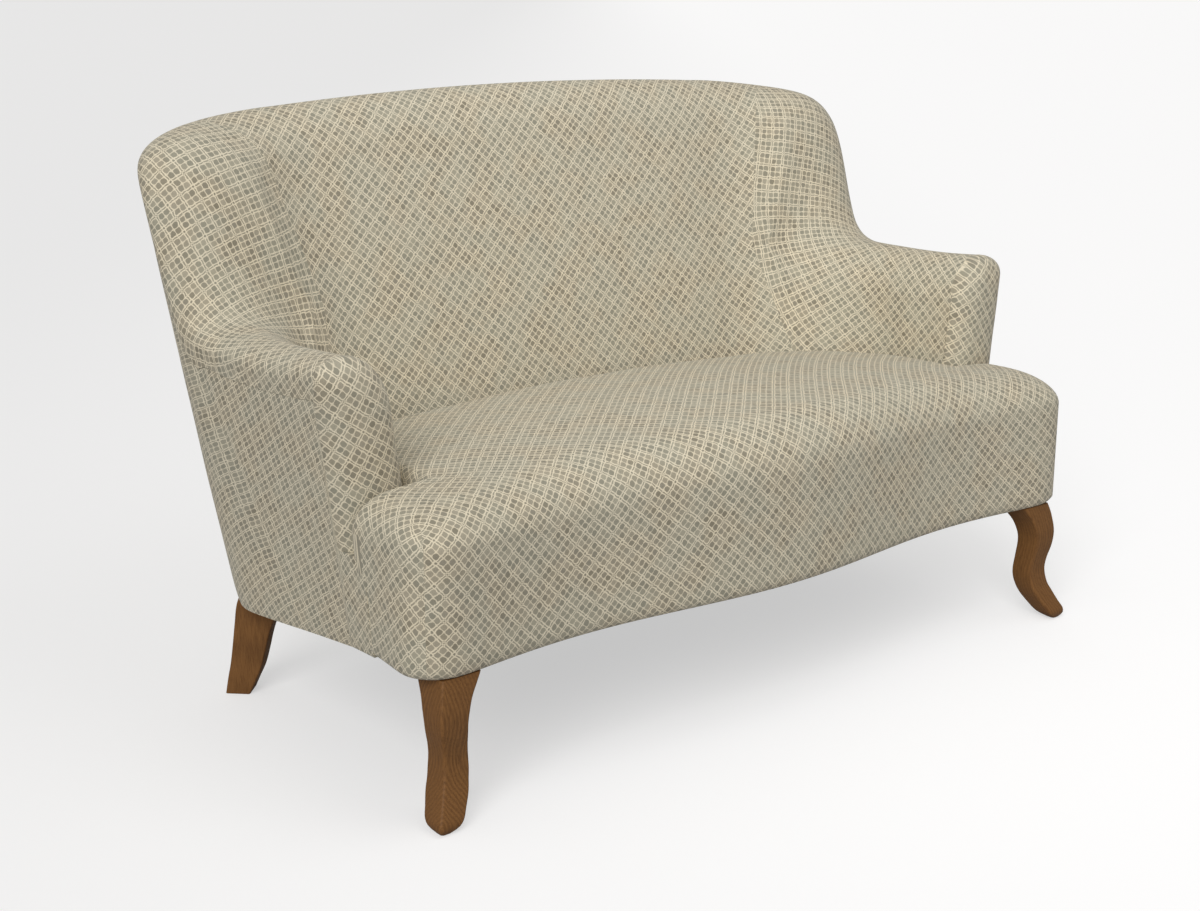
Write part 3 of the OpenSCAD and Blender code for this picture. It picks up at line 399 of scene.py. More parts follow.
def trellis_cloth(name):
    g = Graph(name)
    uv = g.node("ShaderNodeUVMap", uv_map="cloth").outputs[0]
    wobble = g.node("ShaderNodeTexNoise")
    g.put(uv, wobble.inputs["Vector"])
    wobble.inputs["Scale"].default_value, wobble.inputs["Detail"].default_value = 130.0, 3.0
    drift = g.node("ShaderNodeVectorMath", operation="MULTIPLY_ADD")
    g.put(wobble.outputs["Color"], drift.inputs[0])
    drift.inputs[1].default_value = (0.0042, 0.0042, 0.0)
    g.put(uv, drift.inputs[2])
    split = g.node("ShaderNodeSeparateXYZ")
    g.put(drift.outputs[0], split.inputs[0])
    x = g.math("DIVIDE", split.outputs[0], REPEAT[0])
    y = g.math("DIVIDE", split.outputs[1], REPEAT[1])
    a, b = g.math("ADD", x, y), g.math("SUBTRACT", x, y)
    pa, pb = g.math("PINGPONG", a, 0.5), g.math("PINGPONG", b, 0.5)

    def line(p):
        """Two fine lines at each side of the diamond's edge, where p is 0.5."""
        edge = g.math("SUBTRACT", 0.5, p)
        return g.step(g.math("ABSOLUTE", g.math("SUBTRACT", edge, LINE_PLACE)), *LINE_FADE)

    lines = g.math("MAXIMUM", line(pa), line(pb))
    gap = g.step(g.math("MINIMUM", g.math("SUBTRACT", 0.5, pa), g.math("SUBTRACT", 0.5, pb)), *GAP_FADE)
    cross = g.step(g.math("MINIMUM", pa, pb), *CROSS_FADE)
    qa, qb = (g.math("ABSOLUTE", g.math("SUBTRACT", p, PETAL_PLACE)) for p in (pa, pb))
    square = g.math("ADD", g.math("POWER", qa, PETAL_POWER), g.math("POWER", qb, PETAL_POWER))
    petal = g.step(g.math("POWER", square, 1 / PETAL_POWER), *PETAL_FADE)
    px, py = g.math("PINGPONG", x, 0.5), g.math("PINGPONG", y, 0.5)
    ex, ey = g.math("SUBTRACT", 0.5, px), g.math("SUBTRACT", 0.5, py)

    def far(p, q):
        return g.math("SQRT", g.math("ADD", g.math("MULTIPLY", p, p), g.math("MULTIPLY", q, q)))

    single = far(px, ey)
    dot, ring = g.step(single, *DOT_FADE), g.step(single, *RING_FADE)
    beside, above = g.math("SUBTRACT", ex, TINY_PLACE), g.math("SUBTRACT", py, TINY_PLACE)
    tiny = g.step(g.math("MINIMUM", far(beside, py), far(ex, above)), *TINY_FADE)

    cells = g.node("ShaderNodeCombineXYZ")
    g.put(g.math("FLOOR", g.math("MULTIPLY", a, 2.0)), cells.inputs[0])
    g.put(g.math("FLOOR", g.math("MULTIPLY", b, 2.0)), cells.inputs[1])
    chance = g.node("ShaderNodeTexWhiteNoise", noise_dimensions="2D")
    g.put(cells.outputs[0], chance.inputs["Vector"])
    cloud = g.noise(uv, 14.0, 2.0)
    slub = g.noise(uv, 620.0, 2.0, 0.7)
    taupe = g.colours(chance.outputs["Value"], srgb(*TAUPE), srgb(TAUPE[0] - 12, TAUPE[1] - 13, TAUPE[2] - 15))
    taupe = g.colours(g.step(cloud, 0.62, 0.4), taupe, srgb(TAUPE[0] - 2, TAUPE[1] + 1, TAUPE[2] + 1))
    cream = g.colours(g.step(cloud, 0.38, 0.64), srgb(*CREAM), srgb(CREAM[0] + 4, CREAM[1] + 2, CREAM[2] - 1))
    ground = g.colours(g.step(cloud, 0.35, 0.65), srgb(*GROUND), srgb(GROUND[0] + 4, GROUND[1], GROUND[2] - 2))
    faded = g.math("MULTIPLY_ADD", g.math("FRACT", g.math("MULTIPLY", chance.outputs["Value"], 7.0)), 0.45, 0.62)
    colour = g.colours(g.math("MULTIPLY", petal, g.math("MINIMUM", faded, 1.0)), ground, taupe)
    colour = g.colours(g.math("MULTIPLY", gap, 0.8), colour, taupe)
    colour = g.colours(g.math("MAXIMUM", lines, g.math("MULTIPLY", cross, 0.75)), colour, cream)
    colour = g.colours(ring, colour, cream)
    colour = g.colours(g.math("MAXIMUM", dot, g.math("MULTIPLY", tiny, 0.7)), colour, taupe)
    speck = g.math("MULTIPLY_ADD", slub, 0.9, 0.55)
    fleck = g.node("ShaderNodeCombineColor")
    for k in range(3):
        g.put(speck, fleck.inputs[k])
    colour = g.colours(0.5, colour, g.colours(1.0, colour, fleck.outputs[0], "MULTIPLY"))
    g.put(colour, g.shader.inputs["Base Color"])
    raised = g.math("MULTIPLY", g.math("MAXIMUM", lines, cross), 0.5)
    g.bump(g.math("SUBTRACT", raised, g.math("MULTIPLY", petal, 0.4)), 0.4, 0.0006)
    g.shader.inputs["Roughness"].default_value = 0.88
    g.shader.inputs["Sheen Weight"].default_value = 0.12
    g.shader.inputs["Sheen Roughness"].default_value = 0.5
    g.shader.inputs["Specular IOR Level"].default_value = 0.25
    return g.material


cloth = trellis_cloth("trellis_cloth")
print("trellis nodes:", len(cloth.node_tree.nodes))

# %% [markdown]
# ## Inside back, wings and arms
#
# One wrap of cloth starts under the seat line, rises up the inside, rolls over the top and ends at a tacking line
# outside. Its place on the cloth follows the top edge: past the edge of the wall the cloth rolls square to that
# edge, also where the wing sweeps down to the arm, so the trellis isn't sheared there.

# %%
WALL, ROLL, TAIL = 34, 15, 3
WALL_ANCHOR = slice(4, 20)


def wrap_rows(u):
    """Angles and heights of the rows of a wrap at each u: (n, rows)."""
    r_out, r_in = rolls(u)
    t = top(u)
    angles, heights = [], []
    for k in range(WALL):
        angles.append(180 + 0 * u)
        heights.append(mix(PAD_FOOT, t - r_in, k / WALL))
    for k in range(ROLL + 1):
        a = math.radians(180 - 90 * k / ROLL)
        angles.append(math.degrees(a) + 0 * u)
        heights.append(t - r_in * (1 - math.sin(a)))
    for k in range(1, ROLL + 1):
        a = math.radians(90 - 90 * k / ROLL)
        angles.append(math.degrees(a) + 0 * u)
        heights.append(t - r_out * (1 - math.sin(a)))
    for k in range(1, TAIL + 1):
        angles.append(0 * u)
        heights.append(t - r_out - TACK_DROP * k / TAIL)
    return np.stack(angles, -1), np.stack(heights, -1)


def wall_length(us, z=600.0):
    """Length along the inside of the shell in plan, from the middle of the back."""
    fine = np.linspace(0, 3, 1201)
    p = at(fine, np.full_like(fine, z), inner(fine, np.full_like(fine, z)))
    s = np.concatenate([[0], np.cumsum(np.linalg.norm(np.diff(p, axis=0), axis=1))])
    return np.interp(us, fine, s)


def wrap(name, us, side, material):
    """us are stations from low to high, all on one side of the middle or across it."""
    v = np.abs(us)
    angle, z = wrap_rows(v)
    cos = np.cos(np.radians(angle))
    uu = v[:, None] + 0 * z
    o, i = outer(uu, z), inner(uu, z)
    crown = 5 * np.clip((z - PAD_FOOT - 30) / 160, 0, 1) * np.clip((top(v)[:, None] - z) / 200, 0, 1)
    crown = crown * np.where(uu < 1, 1 - 0.4 * uu ** 4, 0.6) * (cos < -0.99)
    d = (o + i) / 2 + (o - i) / 2 * cos - crown
    skin = at(uu, z, d)
    d = d + soften(skin * [side, 1, 1], 120, 0.7, 3) * (0.3 + 0.7 * (cos < 0.5))
    skin = at(uu, z, d)
    lz = np.minimum(z, (top(v) - PAD_TOP * np.sqrt(1 + slope(v) ** 2))[:, None])
    lining = at(uu, lz, outer(uu, lz, PAD_OUT + ROOM * (1 - cos) / 2, False))
    past = np.concatenate([np.zeros((len(v), 1)), np.linalg.norm(np.diff(skin, axis=1), axis=2)], 1).cumsum(1)
    flip = np.where(us < 0, -1.0, 1.0) * side
    plan = np.stack([np.repeat((wall_length(v) * flip)[:, None], z.shape[1], 1), PAD_FOOT + past], -1)
    skin[..., 0] *= flip[:, None]
    lining[..., 0] *= flip[:, None]
    obj = shell(name, skin, lining, plan, material)
    n, m = z.shape
    cells = np.arange((n - 1) * (m - 1)).reshape(n - 1, m - 1)
    whole = us.max() < 2
    unwrap(obj, cells.ravel(), (cells[:, WALL_ANCHOR] if whole else cells[-22:-4, WALL_ANCHOR]).ravel())
    return obj


def stations(*parts):
    """Joins runs of (start, end, count) into one list of u values."""
    out = []
    for a, b, n in parts:
        out += list(np.linspace(a, b, n, endpoint=False))
    return np.array(out + [parts[-1][1]])


# %% [markdown]
# The back runs to the middle of each rear corner, where a seam hides in the fold, and each arm cover goes on from
# there to the arm front. The points lie closest together where the top edge sweeps down.

# %%
half_back = stations((0, 1, 36), (1, 1.5, 14))
back_us = np.concatenate([-half_back[::-1], half_back[1:]])
arm_us = stations((1.5, 1.86, 12), (1.86, 2.14, 36), (2.14, 3, 34))
inside_back = wrap("inside_back", back_us, 1, cloth)
arms = {s: wrap(n, arm_us, s, cloth) for s, n in ((-1, "left_arm_cover"), (1, "right_arm_cover"))}


def stands_for(obj, fill, *pads):
    """A cover rides on the sofa's one body, and takes the place of its CAD pads."""
    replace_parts(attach(obj, "root"), *pads)


for obj, node in ((inside_back, "inside_back_pad"), (arms[-1], "left_arm_pad"), (arms[1], "right_arm_pad")):
    stands_for(obj, 0.8, node)
print("wraps:", [len(o.data.polygons) for o in (inside_back, *arms.values())])

# %% [markdown]
# ## Arm fronts
#
# The padded arm front is the arm's own outline, drawn in towards an upright line while it swells forward. An inset
# of a flat face could do that on a simple shape. Here rings of the outline are placed one by one, so that they never
# cross in the narrow roll at the top.

# %%
FACE_MID, FACE_TURN = (620, 450), 8
RING_SHARES = (0, 0.008, 0.03, 0.07, 0.12, 0.19, 0.28, 0.38, 0.5, 0.62, 0.74, 0.86, 0.97)


def facing(name, side, material):
    wall, roll = 22, 12
    last = 2 * (wall + roll)
    k = np.arange(last + 1)
    j = np.minimum(k, last - k)
    inside = k <= last / 2
    r_out, r_in = (float(x) for x in rolls(np.array(3.0)))
    t3 = float(top(np.array(3.0)))
    b = np.where(inside, r_in, r_out)
    a = np.where(j < wall, 0, 90 * (j - wall) / roll)
    z = np.where(j < wall, mix(DECK, t3 - b, j / wall), t3 - b * (1 - np.sin(np.radians(a))))
    a = np.where(inside, 180 - a, a)
    three = np.full(len(k), 3.0)
    o, i = outer(three, z), inner(three, z)
    x = (o + i) / 2 + (o - i) / 2 * np.cos(np.radians(a))
    zs = np.minimum(z, t3 - ROLL_IN[0] * 0.8)
    xs = (outer(three, zs) + inner(three, zs)) / 2
    rings = []
    for f in RING_SHARES:
        g = (1 - (1 - f) ** 2.6) ** 0.5
        p = np.stack([mix(x, xs, f), -ARM_REACH - GAP - (SWELL - GAP) * g + 0 * x, mix(z, zs, f)], -1)
        p[:, 1] -= soften(p * [side, 1, 1], 90, 0.8, 7) * g
        rings.append(p)
    rings = [rings[0] + [0, 6, 0]] + rings
    grid = np.stack(rings)
    m = last + 1
    idx = np.arange(grid.shape[0] * m).reshape(grid.shape[0], m)
    quads = [[idx[r, c], idx[r, c + 1], idx[r + 1, c + 1], idx[r + 1, c]] for r in range(len(rings) - 1)
             for c in range(m - 1)]
    half = m // 2
    n = len(rings) - 1
    for c in range(half):
        quads.append([idx[n, c], idx[n, c + 1], idx[n, last - c - 1], idx[n, last - c]])
        quads.append([idx[0, c + 1], idx[0, c], idx[0, last - c], idx[0, last - c - 1]])
    quads = [q for q in quads if len(set(q)) == 4] + [list(dict.fromkeys(q)) for q in quads if len(set(q)) == 3]
    quads += [[idx[r, 0], idx[r + 1, 0], idx[r + 1, last], idx[r, last]] for r in range(n)]
    points = grid.reshape(-1, 3) * [side, 1, 1]
    way = math.radians(FACE_TURN)
    ahead = -(grid[..., 1] + ARM_REACH)
    across = (grid[..., 0] - xs[None]) * (1 + 0.25 * (1 - ahead / SWELL))
    up = grid[..., 2] - FACE_MID[1]
    cu = across * math.cos(way) - up * math.sin(way) + FACE_MID[0]
    cv = across * math.sin(way) + up * math.cos(way) + FACE_MID[1]
    uv = np.stack([cu * side, cv], -1).reshape(-1, 2)
    if side > 0:
        quads = [q[::-1] for q in quads]
    uvs = np.concatenate([uv[q] for q in quads])
    sharp = [(idx[r, c], idx[r, c + 1]) for r in (1, 0) for c in range(m - 1)]
    sharp += [(idx[r, c], idx[r + 1, c]) for r in range(n) for c in (0, last)]
    return make(name, points, quads, uvs, sharp, material)


for side, word in ((-1, "left"), (1, "right")):
    obj = facing(word + "_arm_front", side, cloth)
    stands_for(obj, 0.9, word + "_arm_facing")
    print(obj.name, "faces:", len(obj.data.polygons))

# %% [markdown]
# ## Outside covers
#
# The outside back and the outside arms are stretched flat from the tacking line down to the bottom edge, which
# falls a little towards the back. Their cloth hardly bends, so its place is measured along each row, with no unwrap.

# %%
def cover_rows(us, rows):
    """Heights of an outside cover at each u."""
    v = np.abs(us)
    r_out, _ = rolls(v)
    head = np.where(v > 3, DECK - GAP, top(v) - r_out - TACK_DROP - GAP)
    foot = np.full(len(v), CLEAR)
    for _ in range(3):
        foot = bottom_z(at(v, foot, outer(v, foot))[:, 1])
    return mix(foot[:, None], head[:, None], np.asarray(rows)[None])


def cover(name, us, side, material):
    rows = np.concatenate([[0, 0.008, 0.025, 0.05], np.linspace(0.09, 1, 24)])
    z = cover_rows(us, rows)
    v = np.abs(us)[:, None] + 0 * z
    tuck = 2 * np.clip(1 - rows / 0.05, 0, 1)[None] ** 2
    swell = 3.0 * np.sin(math.pi * np.clip(rows, 0, 1))[None] ** 0.7
    d = outer(v, z, tuck) - 1.0 + swell * 0.6
    d = d + soften(at(v, z, d) * [side, 1, 1], 160, 0.5, 11)
    skin = at(v, z, d)
    lining = at(v, z, outer(v, z, COVER_T, False))
    flip = np.where(us < 0, -1.0, 1.0) * side
    skin[..., 0] *= flip[:, None]
    lining[..., 0] *= flip[:, None]
    s = np.concatenate([0 * z[:1], np.linalg.norm(np.diff(skin, axis=0), axis=2).cumsum(0)])
    s = s - s[np.argmin(np.abs(us)) if us.min() < 0 else -1]
    return shell(name, skin, lining, np.stack([s * -side, z / math.cos(math.radians(8))], -1), material)


half = stations((0.0, 1.0, 30))
outside = {"outside_back": cover("outside_back", np.concatenate([-half[::-1], half[1:]]), 1, cloth)}
side_us = stations((1.0, 1.86, 26), (1.86, 2.14, 30), (2.14, 3, 30))
side_us = np.concatenate([side_us, stations((3.0005, 4, 8))])
for side, word in ((-1, "left"), (1, "right")):
    outside[word + "_outside_arm"] = cover(word + "_outside_arm", side_us, side, cloth)
for name, obj in outside.items():
    stands_for(obj, 0.95, name + "_cover")
    print(name, "faces:", len(obj.data.polygons))

# %% [markdown]
# ## Seat and front
#
# The tight seat and its front border wear one cover. Its top is crowned, its nose rolls over the serpentine front
# edge, and from there the cloth runs down to the bottom edge and turns under. First comes its outline in plan. It
# starts as straight runs and arcs, and a few passes of averaging round off the front corners.

# %%
def front_y(x):
    return -(FRONT_REACH - SERPENTINE / 2 + SERPENTINE / 2 * np.cos(np.radians(360 * x / WAVE)))


SHOULDER_Y, NOSE_FOOT = -ARM_REACH - SWELL - GAP, DECK + 33.0
BACK_US = stations((0, 1, 26), (1, 2, 26), (2, 3, 26))
BACK_US = BACK_US[1:]
SIDE_T, CORNER_A = np.linspace(0, 1, 9)[1:-1], np.linspace(0, 90, 13)
FRONT_T = np.linspace(0, 1, 44)[1:]
SEAM_COLUMN = len(BACK_US) + 10
ROUNDED, PASSES = slice(SEAM_COLUMN + 3, SEAM_COLUMN + 25), 8
ROUNDED_BEFORE, ROUNDED_AFTER = (slice(ROUNDED.start + k, ROUNDED.stop + k) for k in (-1, 1))
SEAT_GAP, SEAT_DIP, SHOULDER_DIP, SHOULDER_R = 2 * GAP, 22, 14, 12


def seat_column(z, t, side_tuck, front_tuck, r):
    """Plan outline of the right-hand half, from the middle of the back round to the middle of the front."""
    zz = np.full(len(BACK_US), z)
    p = at(BACK_US, zz, inner(BACK_US, zz) - SEAT_GAP - SEAT_DIP * t)[:, :2]
    y = SHOULDER_Y - SHOULDER_DIP * t
    s = float(side_x(z, SHOULDER_Y)) - side_tuck
    x_in = float(in_half(z)) - SEAT_GAP - SEAT_DIP * t
    a = np.radians(np.linspace(90, 0, 6))
    turn_x, turn_y = s - SHOULDER_R, y - SHOULDER_R
    out = [p, [[x_in, y]], [[mix(x_in, turn_x, k), y] for k in (0.25, 0.5, 0.75)],
           np.stack([turn_x + SHOULDER_R * np.cos(a), turn_y + SHOULDER_R * np.sin(a)], -1)]
    x0 = float(side_x(z, -FRONT_REACH)) - side_tuck
    cx = x0 - r
    cy = float(front_y(cx)) + front_tuck + r
    ys = mix(turn_y, cy, SIDE_T)
    out.append(np.stack([side_x(z, ys) - side_tuck, ys], -1))
    c = np.radians(CORNER_A)
    out.append(np.stack([cx + r * np.cos(c), cy - r * np.sin(c)], -1))
    xs = cx * (1 - FRONT_T)
    out.append(np.stack([xs, front_y(xs) + front_tuck], -1))
    plan = np.concatenate([np.asarray(o, float) for o in out])
    for _ in range(PASSES):
        plan[ROUNDED] = (plan[ROUNDED_BEFORE] + 2 * plan[ROUNDED] + plan[ROUNDED_AFTER]) / 4
    return plan


def seat_top(x, y):
    back = np.maximum(0, y + FRONT_REACH - 1.6 * NOSE) / (FRONT_REACH * 1.05)
    return SEAT_H - 30 * back ** 2 - 24 * (2 * x / SEAT_W) ** 2


print("seat outline, points in one half:", len(seat_column(NOSE_FOOT, 0, 0, 0, FRONT_R)))

# %% [markdown]
# The cover is built of rings of that outline. They spread over the crowned top from a short line in the middle,
# roll over the nose, and go down the walls. Triangles between the two sides of the smallest ring close the top. The
# rings lie close enough together without a subdivision surface.

# %%
TOP_SHARES = (0.03, 0.1, 0.2, 0.3, 0.4, 0.5, 0.6, 0.7, 0.8, 0.88, 0.95)
NOSE_ANGLES = (90, 84, 76, 68, 60, 52, 44, 36, 28, 20, 12, 5, 0)
WALL_SHARES = (0.1, 0.2, 0.3, 0.4, 0.5, 0.6, 0.7, 0.8, 0.88, 0.94, 0.975, 0.993, 1.0)
CENTRE_Y, CENTRE_SPREAD, SIDE_ROLL, BOTTOM_TUCK, CUT_ANGLE = SHOULDER_Y - 40, 0.77, 46, 8, 44


def seat_cover(name, material):
    rings, kinds = [], []
    rim_top = seat_column(NOSE_FOOT, 1, SIDE_ROLL, NOSE, FRONT_R)
    for f in TOP_SHARES:
        p = np.stack([rim_top[:, 0] * mix(CENTRE_SPREAD, 1, f), mix(CENTRE_Y, rim_top[:, 1], f)], -1)
        rings.append(np.column_stack([p, seat_top(p[:, 0], p[:, 1])]))
        kinds.append(("top", f))
    for a in NOSE_ANGLES:
        c, s = 1 - math.cos(math.radians(a)), math.sin(math.radians(a))
        p = seat_column(NOSE_FOOT, c, SIDE_ROLL * c, NOSE * c, FRONT_R)
        rings.append(np.column_stack([p, mix(NOSE_FOOT, seat_top(p[:, 0], p[:, 1]), s)]))
        kinds.append(("nose", a))
    count = len(rim_top)
    front = np.arange(count) >= SEAM_COLUMN
    low = np.where(front, CLEAR, DECK)

    def outline(heights, tucks, radii):
        """Each column's own point of the outline at its own height, tuck and corner radius."""
        rows = enumerate(zip(heights, tucks, radii))
        return np.stack([seat_column(float(z), 0, float(q), float(q), float(r))[c] for c, (z, q, r) in rows])

    for k in WALL_SHARES:
        z = mix(NOSE_FOOT, low, k)
        tuck = np.where(front, BOTTOM_TUCK * np.clip((k - 0.93) / 0.07, 0, 1) ** 2, 0)
        rings.append(np.column_stack([outline(z, tuck, np.full(count, FRONT_R)), z]))
        kinds.append(("wall", k))
    thick = np.where(front, BORDER_T, 0)
    inner_low = outline(low, thick, FRONT_R - thick)
    rings.append(np.column_stack([inner_low, low]))
    rings.append(np.column_stack([inner_low, np.full(count, DECK)]))
    kinds += [("under", 0), ("under", 1)]
    grid = np.stack(rings)
    start = kinds.index(("nose", 90))
    left = grid[:, -2::-1] * [-1, 1, 1]
    both = np.concatenate([grid, left], 1)
    n, m = both.shape[:2]
    both[..., 2] += soften(both, 150, 0.9, 5) * np.clip((start + 9 - np.arange(n)) / 9, 0, 1)[:, None]
    idx = np.arange(n * m).reshape(n, m)
    faces = [[idx[r, c], idx[r + 1, c], idx[r + 1, (c + 1) % m], idx[r, (c + 1) % m]]
             for r in range(n - 1) for c in range(m)]
    back_c, front_c, middle = 0, count - 1, []
    while front_c - back_c > 1:
        step_back = both[0, back_c + 1, 0] <= both[0, front_c - 1, 0] or front_c - 1 == back_c
        third = back_c + 1 if step_back else front_c - 1
        middle.append([back_c, third, front_c])
        back_c, front_c = (third, front_c) if step_back else (back_c, third)
    faces += [[idx[0, c] for c in tri] for tri in middle]
    faces += [[idx[0, m - 1 - c] for c in tri[::-1]] for tri in middle]
    faces.append([idx[0, 0], idx[0, count - 1], idx[0, m - 1]])
    shown = np.concatenate([front, front[-2::-1]])
    foot_row = kinds.index(("nose", 0))
    skin = [r * m + c for r in range(n - 3) for c in range(m)
            if r < foot_row or (shown[c] and shown[(c + 1) % m])]
    skin += list(range(m * (n - 1), len(faces)))
    faces.append(list(idx[-1])[::-1])
    faces = [face[::-1] for face in faces]
    points = both.reshape(-1, 3)
    flat = points[:, :2]
    uvs = np.concatenate([flat[f] for f in faces])
    sharp = [(idx[n - 2, c], idx[n - 2, (c + 1) % m]) for c in range(m)]
    obj = make(name, points, faces, uvs, sharp, material, levels=0)
    corner = SEAM_COLUMN + len(SIDE_T) + len(CORNER_A) // 2
    split = kinds.index(("nose", CUT_ANGLE))
    cuts = [(idx[r, c], idx[r + 1, c]) for c in (corner, m - 1 - corner) for r in range(split, n - 3)]
    unwrap(obj, skin, range(m * 2, m * (start - 2)), cuts)
    return obj


seat = seat_cover("seat_cover", cloth)
stands_for(seat, 0.85, "seat_pad", "front_border_pad")
print("seat faces:", len(seat.data.polygons))

# %% [markdown]
# ## Legs
#
# The front legs are bandsawn cabriole legs: the same S-shaped profile is cut from two faces of a square blank, and
# the arrises are eased. Two crossed cutters with a Boolean modifier could do the same. Here each height gets its own
# square section with rounded corners, whose place and size follow the profile, which leaves cleaner arrises. The
# rear legs are plain sabre legs, set across the corners. The profiles are shares of the blank's width and the height.

# %%
LEG_W, LEG_H = 61.0, CLEAR - GAP
KNEE = [[-0.28, 1], [-0.2, 0.91], [-0.13, 0.77], [-0.15, 0.65], [-0.235, 0.52], [-0.26, 0.42],
        [-0.2, 0.31], [-0.1, 0.235], [0.04, 0.14], [0.13, 0.085], [0.145, 0.04], [0.06, 0]]
CALF = [[-0.2, 0], [-0.42, 0.05], [-0.62, 0.14], [-0.78, 0.23], [-0.88, 0.33], [-0.905, 0.42],
        [-0.87, 0.55], [-0.84, 0.68], [-0.88, 0.77], [-1.0, 0.87], [-1.28, 1]]
HEEL = [[-0.18, 1], [-0.06, 0.86], [0, 0.68], [0.06, 0.48], [0.12, 0.3], [0.19, 0.15], [0.25, 0]]
SHIN = [[-0.24, 0], [-0.34, 0.1], [-0.48, 0.24], [-0.58, 0.4], [-0.67, 0.56], [-0.78, 0.7], [-0.93, 0.85],
        [-1.12, 1]]
REAR_W, REAR_HALF, ARRIS, REAR_ARRIS = 76, 19, 4.0, 3.0
LEG_X, LEG_Y = 626.0, 374.03
FOOT_X, FOOT_Y = BASE_W / 2 - 53.0, BACK_REACH - 41.0


def smooth(points, steps=24):
    """A curve through given points, sampled densely; returns widths and heights."""
    p = np.asarray(points, float)
    out = []
    for i in range(len(p) - 1):
        a, b, c, d = p[max(i - 1, 0)], p[i], p[i + 1], p[min(i + 2, len(p) - 1)]
        for k in range(steps):
            t = k / steps
            out.append(0.5 * (2 * b + (c - a) * t + (2 * a - 5 * b + 4 * c - d) * t * t
                              + (3 * b - a - 3 * c + d) * t ** 3))
    out.append(p[-1])
    return np.array(out)


def profile(points, heights):
    p = smooth(points)
    p = p[np.argsort(p[:, 1], kind="stable")]
    return np.interp(heights, p[:, 1], p[:, 0])


def rounded(x0, x1, y0, y1, r, n=4):
    """A rectangle with eased corners, as a ring of points."""
    r = min(r, (x1 - x0) / 2.2, (y1 - y0) / 2.2)
    ring = []
    for cx, cy, a0 in ((x1 - r, y1 - r, 0), (x0 + r, y1 - r, 90), (x0 + r, y0 + r, 180), (x1 - r, y0 + r, 270)):
        for k in range(n + 1):
            a = math.radians(a0 + 90 * k / n)
            ring.append((cx + r * math.cos(a), cy + r * math.sin(a)))
    return ring


def tube(name, rings, material, levels=0):
    rings = np.asarray(rings, float)
    n, m = rings.shape[:2]
    idx = np.arange(n * m).reshape(n, m)
    faces = [[idx[r, c], idx[r, (c + 1) % m], idx[r + 1, (c + 1) % m], idx[r + 1, c]]
             for r in range(n - 1) for c in range(m)]
    faces += [list(idx[0])[::-1], list(idx[-1])]
    uvs = np.zeros((sum(len(f) for f in faces), 2))
    sharp = [(idx[r, c], idx[r, (c + 1) % m]) for r in (0, n - 1) for c in range(m)]
    return make(name, rings.reshape(-1, 3), faces, uvs, sharp, material, levels)


# %% [markdown]
# Stained oak shows straight grain along the leg, darker pores in it and slow changes of tone. Bands that a noise
# bends a little give the grain, and a stretched fine noise gives the pores.

# %%
def oak(name, dark, light, axis=2, scale=1.0):
    """Stained wood with grain along one axis, from the piece's own coordinates."""
    g = Graph(name)
    place = g.node("ShaderNodeTexCoord").outputs["Object"]
    stretch = g.node("ShaderNodeMapping")
    g.put(place, stretch.inputs[0])
    size = [60.0 * scale] * 3
    size[axis] = 5.0 * scale
    stretch.inputs["Scale"].default_value = size
    warp = g.noise(stretch.outputs[0], 0.6, 3.0)
    rings = g.node("ShaderNodeTexWave", wave_type="BANDS", bands_direction="DIAGONAL")
    g.put(stretch.outputs[0], rings.inputs["Vector"])
    for socket, value in (("Scale", 1.7), ("Distortion", 4.5), ("Detail", 3.0), ("Detail Scale", 1.2)):
        rings.inputs[socket].default_value = value
    pores = g.node("ShaderNodeMapping")
    g.put(place, pores.inputs[0])
    fine = [1400.0 * scale] * 3
    fine[axis] = 60.0 * scale
    pores.inputs["Scale"].default_value = fine
    pore = g.noise(pores.outputs[0], 1.0, 3.0, 0.7)
    middle = tuple(mix(a, b, 0.5) for a, b in zip(dark, light))
    colour = g.colours(rings.outputs["Fac"], dark, light)
    colour = g.colours(g.step(warp, 0.3, 0.7), colour, g.colours(0.6, colour, middle))
    darker = g.colours(1.0, colour, (0.62, 0.58, 0.55, 1.0), "MULTIPLY")
    colour = g.colours(g.step(pore, 0.52, 0.34), colour, darker)
    g.put(colour, g.shader.inputs["Base Color"])
    g.shader.inputs["Roughness"].default_value = 0.55
    g.shader.inputs["Specular IOR Level"].default_value = 0.2
    g.bump(pore, 0.25, 0.0003)
    return g.material


leg_oak = oak("stained_oak", srgb(111, 76, 42), srgb(130, 91, 51))
print("oak nodes:", len(leg_oak.node_tree.nodes))

# %% [markdown]
# Each leg is a tube of its sections, closed at both ends. The tops of the rear legs are cut along the sloping bottom
# edge of the body.

# %%
def leg(name, rings, side, node):
    """A leg from its rings, which turn the other way on the mirrored side."""
    obj = tube(name, [r[::-1] for r in rings] if side < 0 else rings, leg_oak)
    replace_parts(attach(obj, "root"), node)
    print(name, "faces:", len(obj.data.polygons))


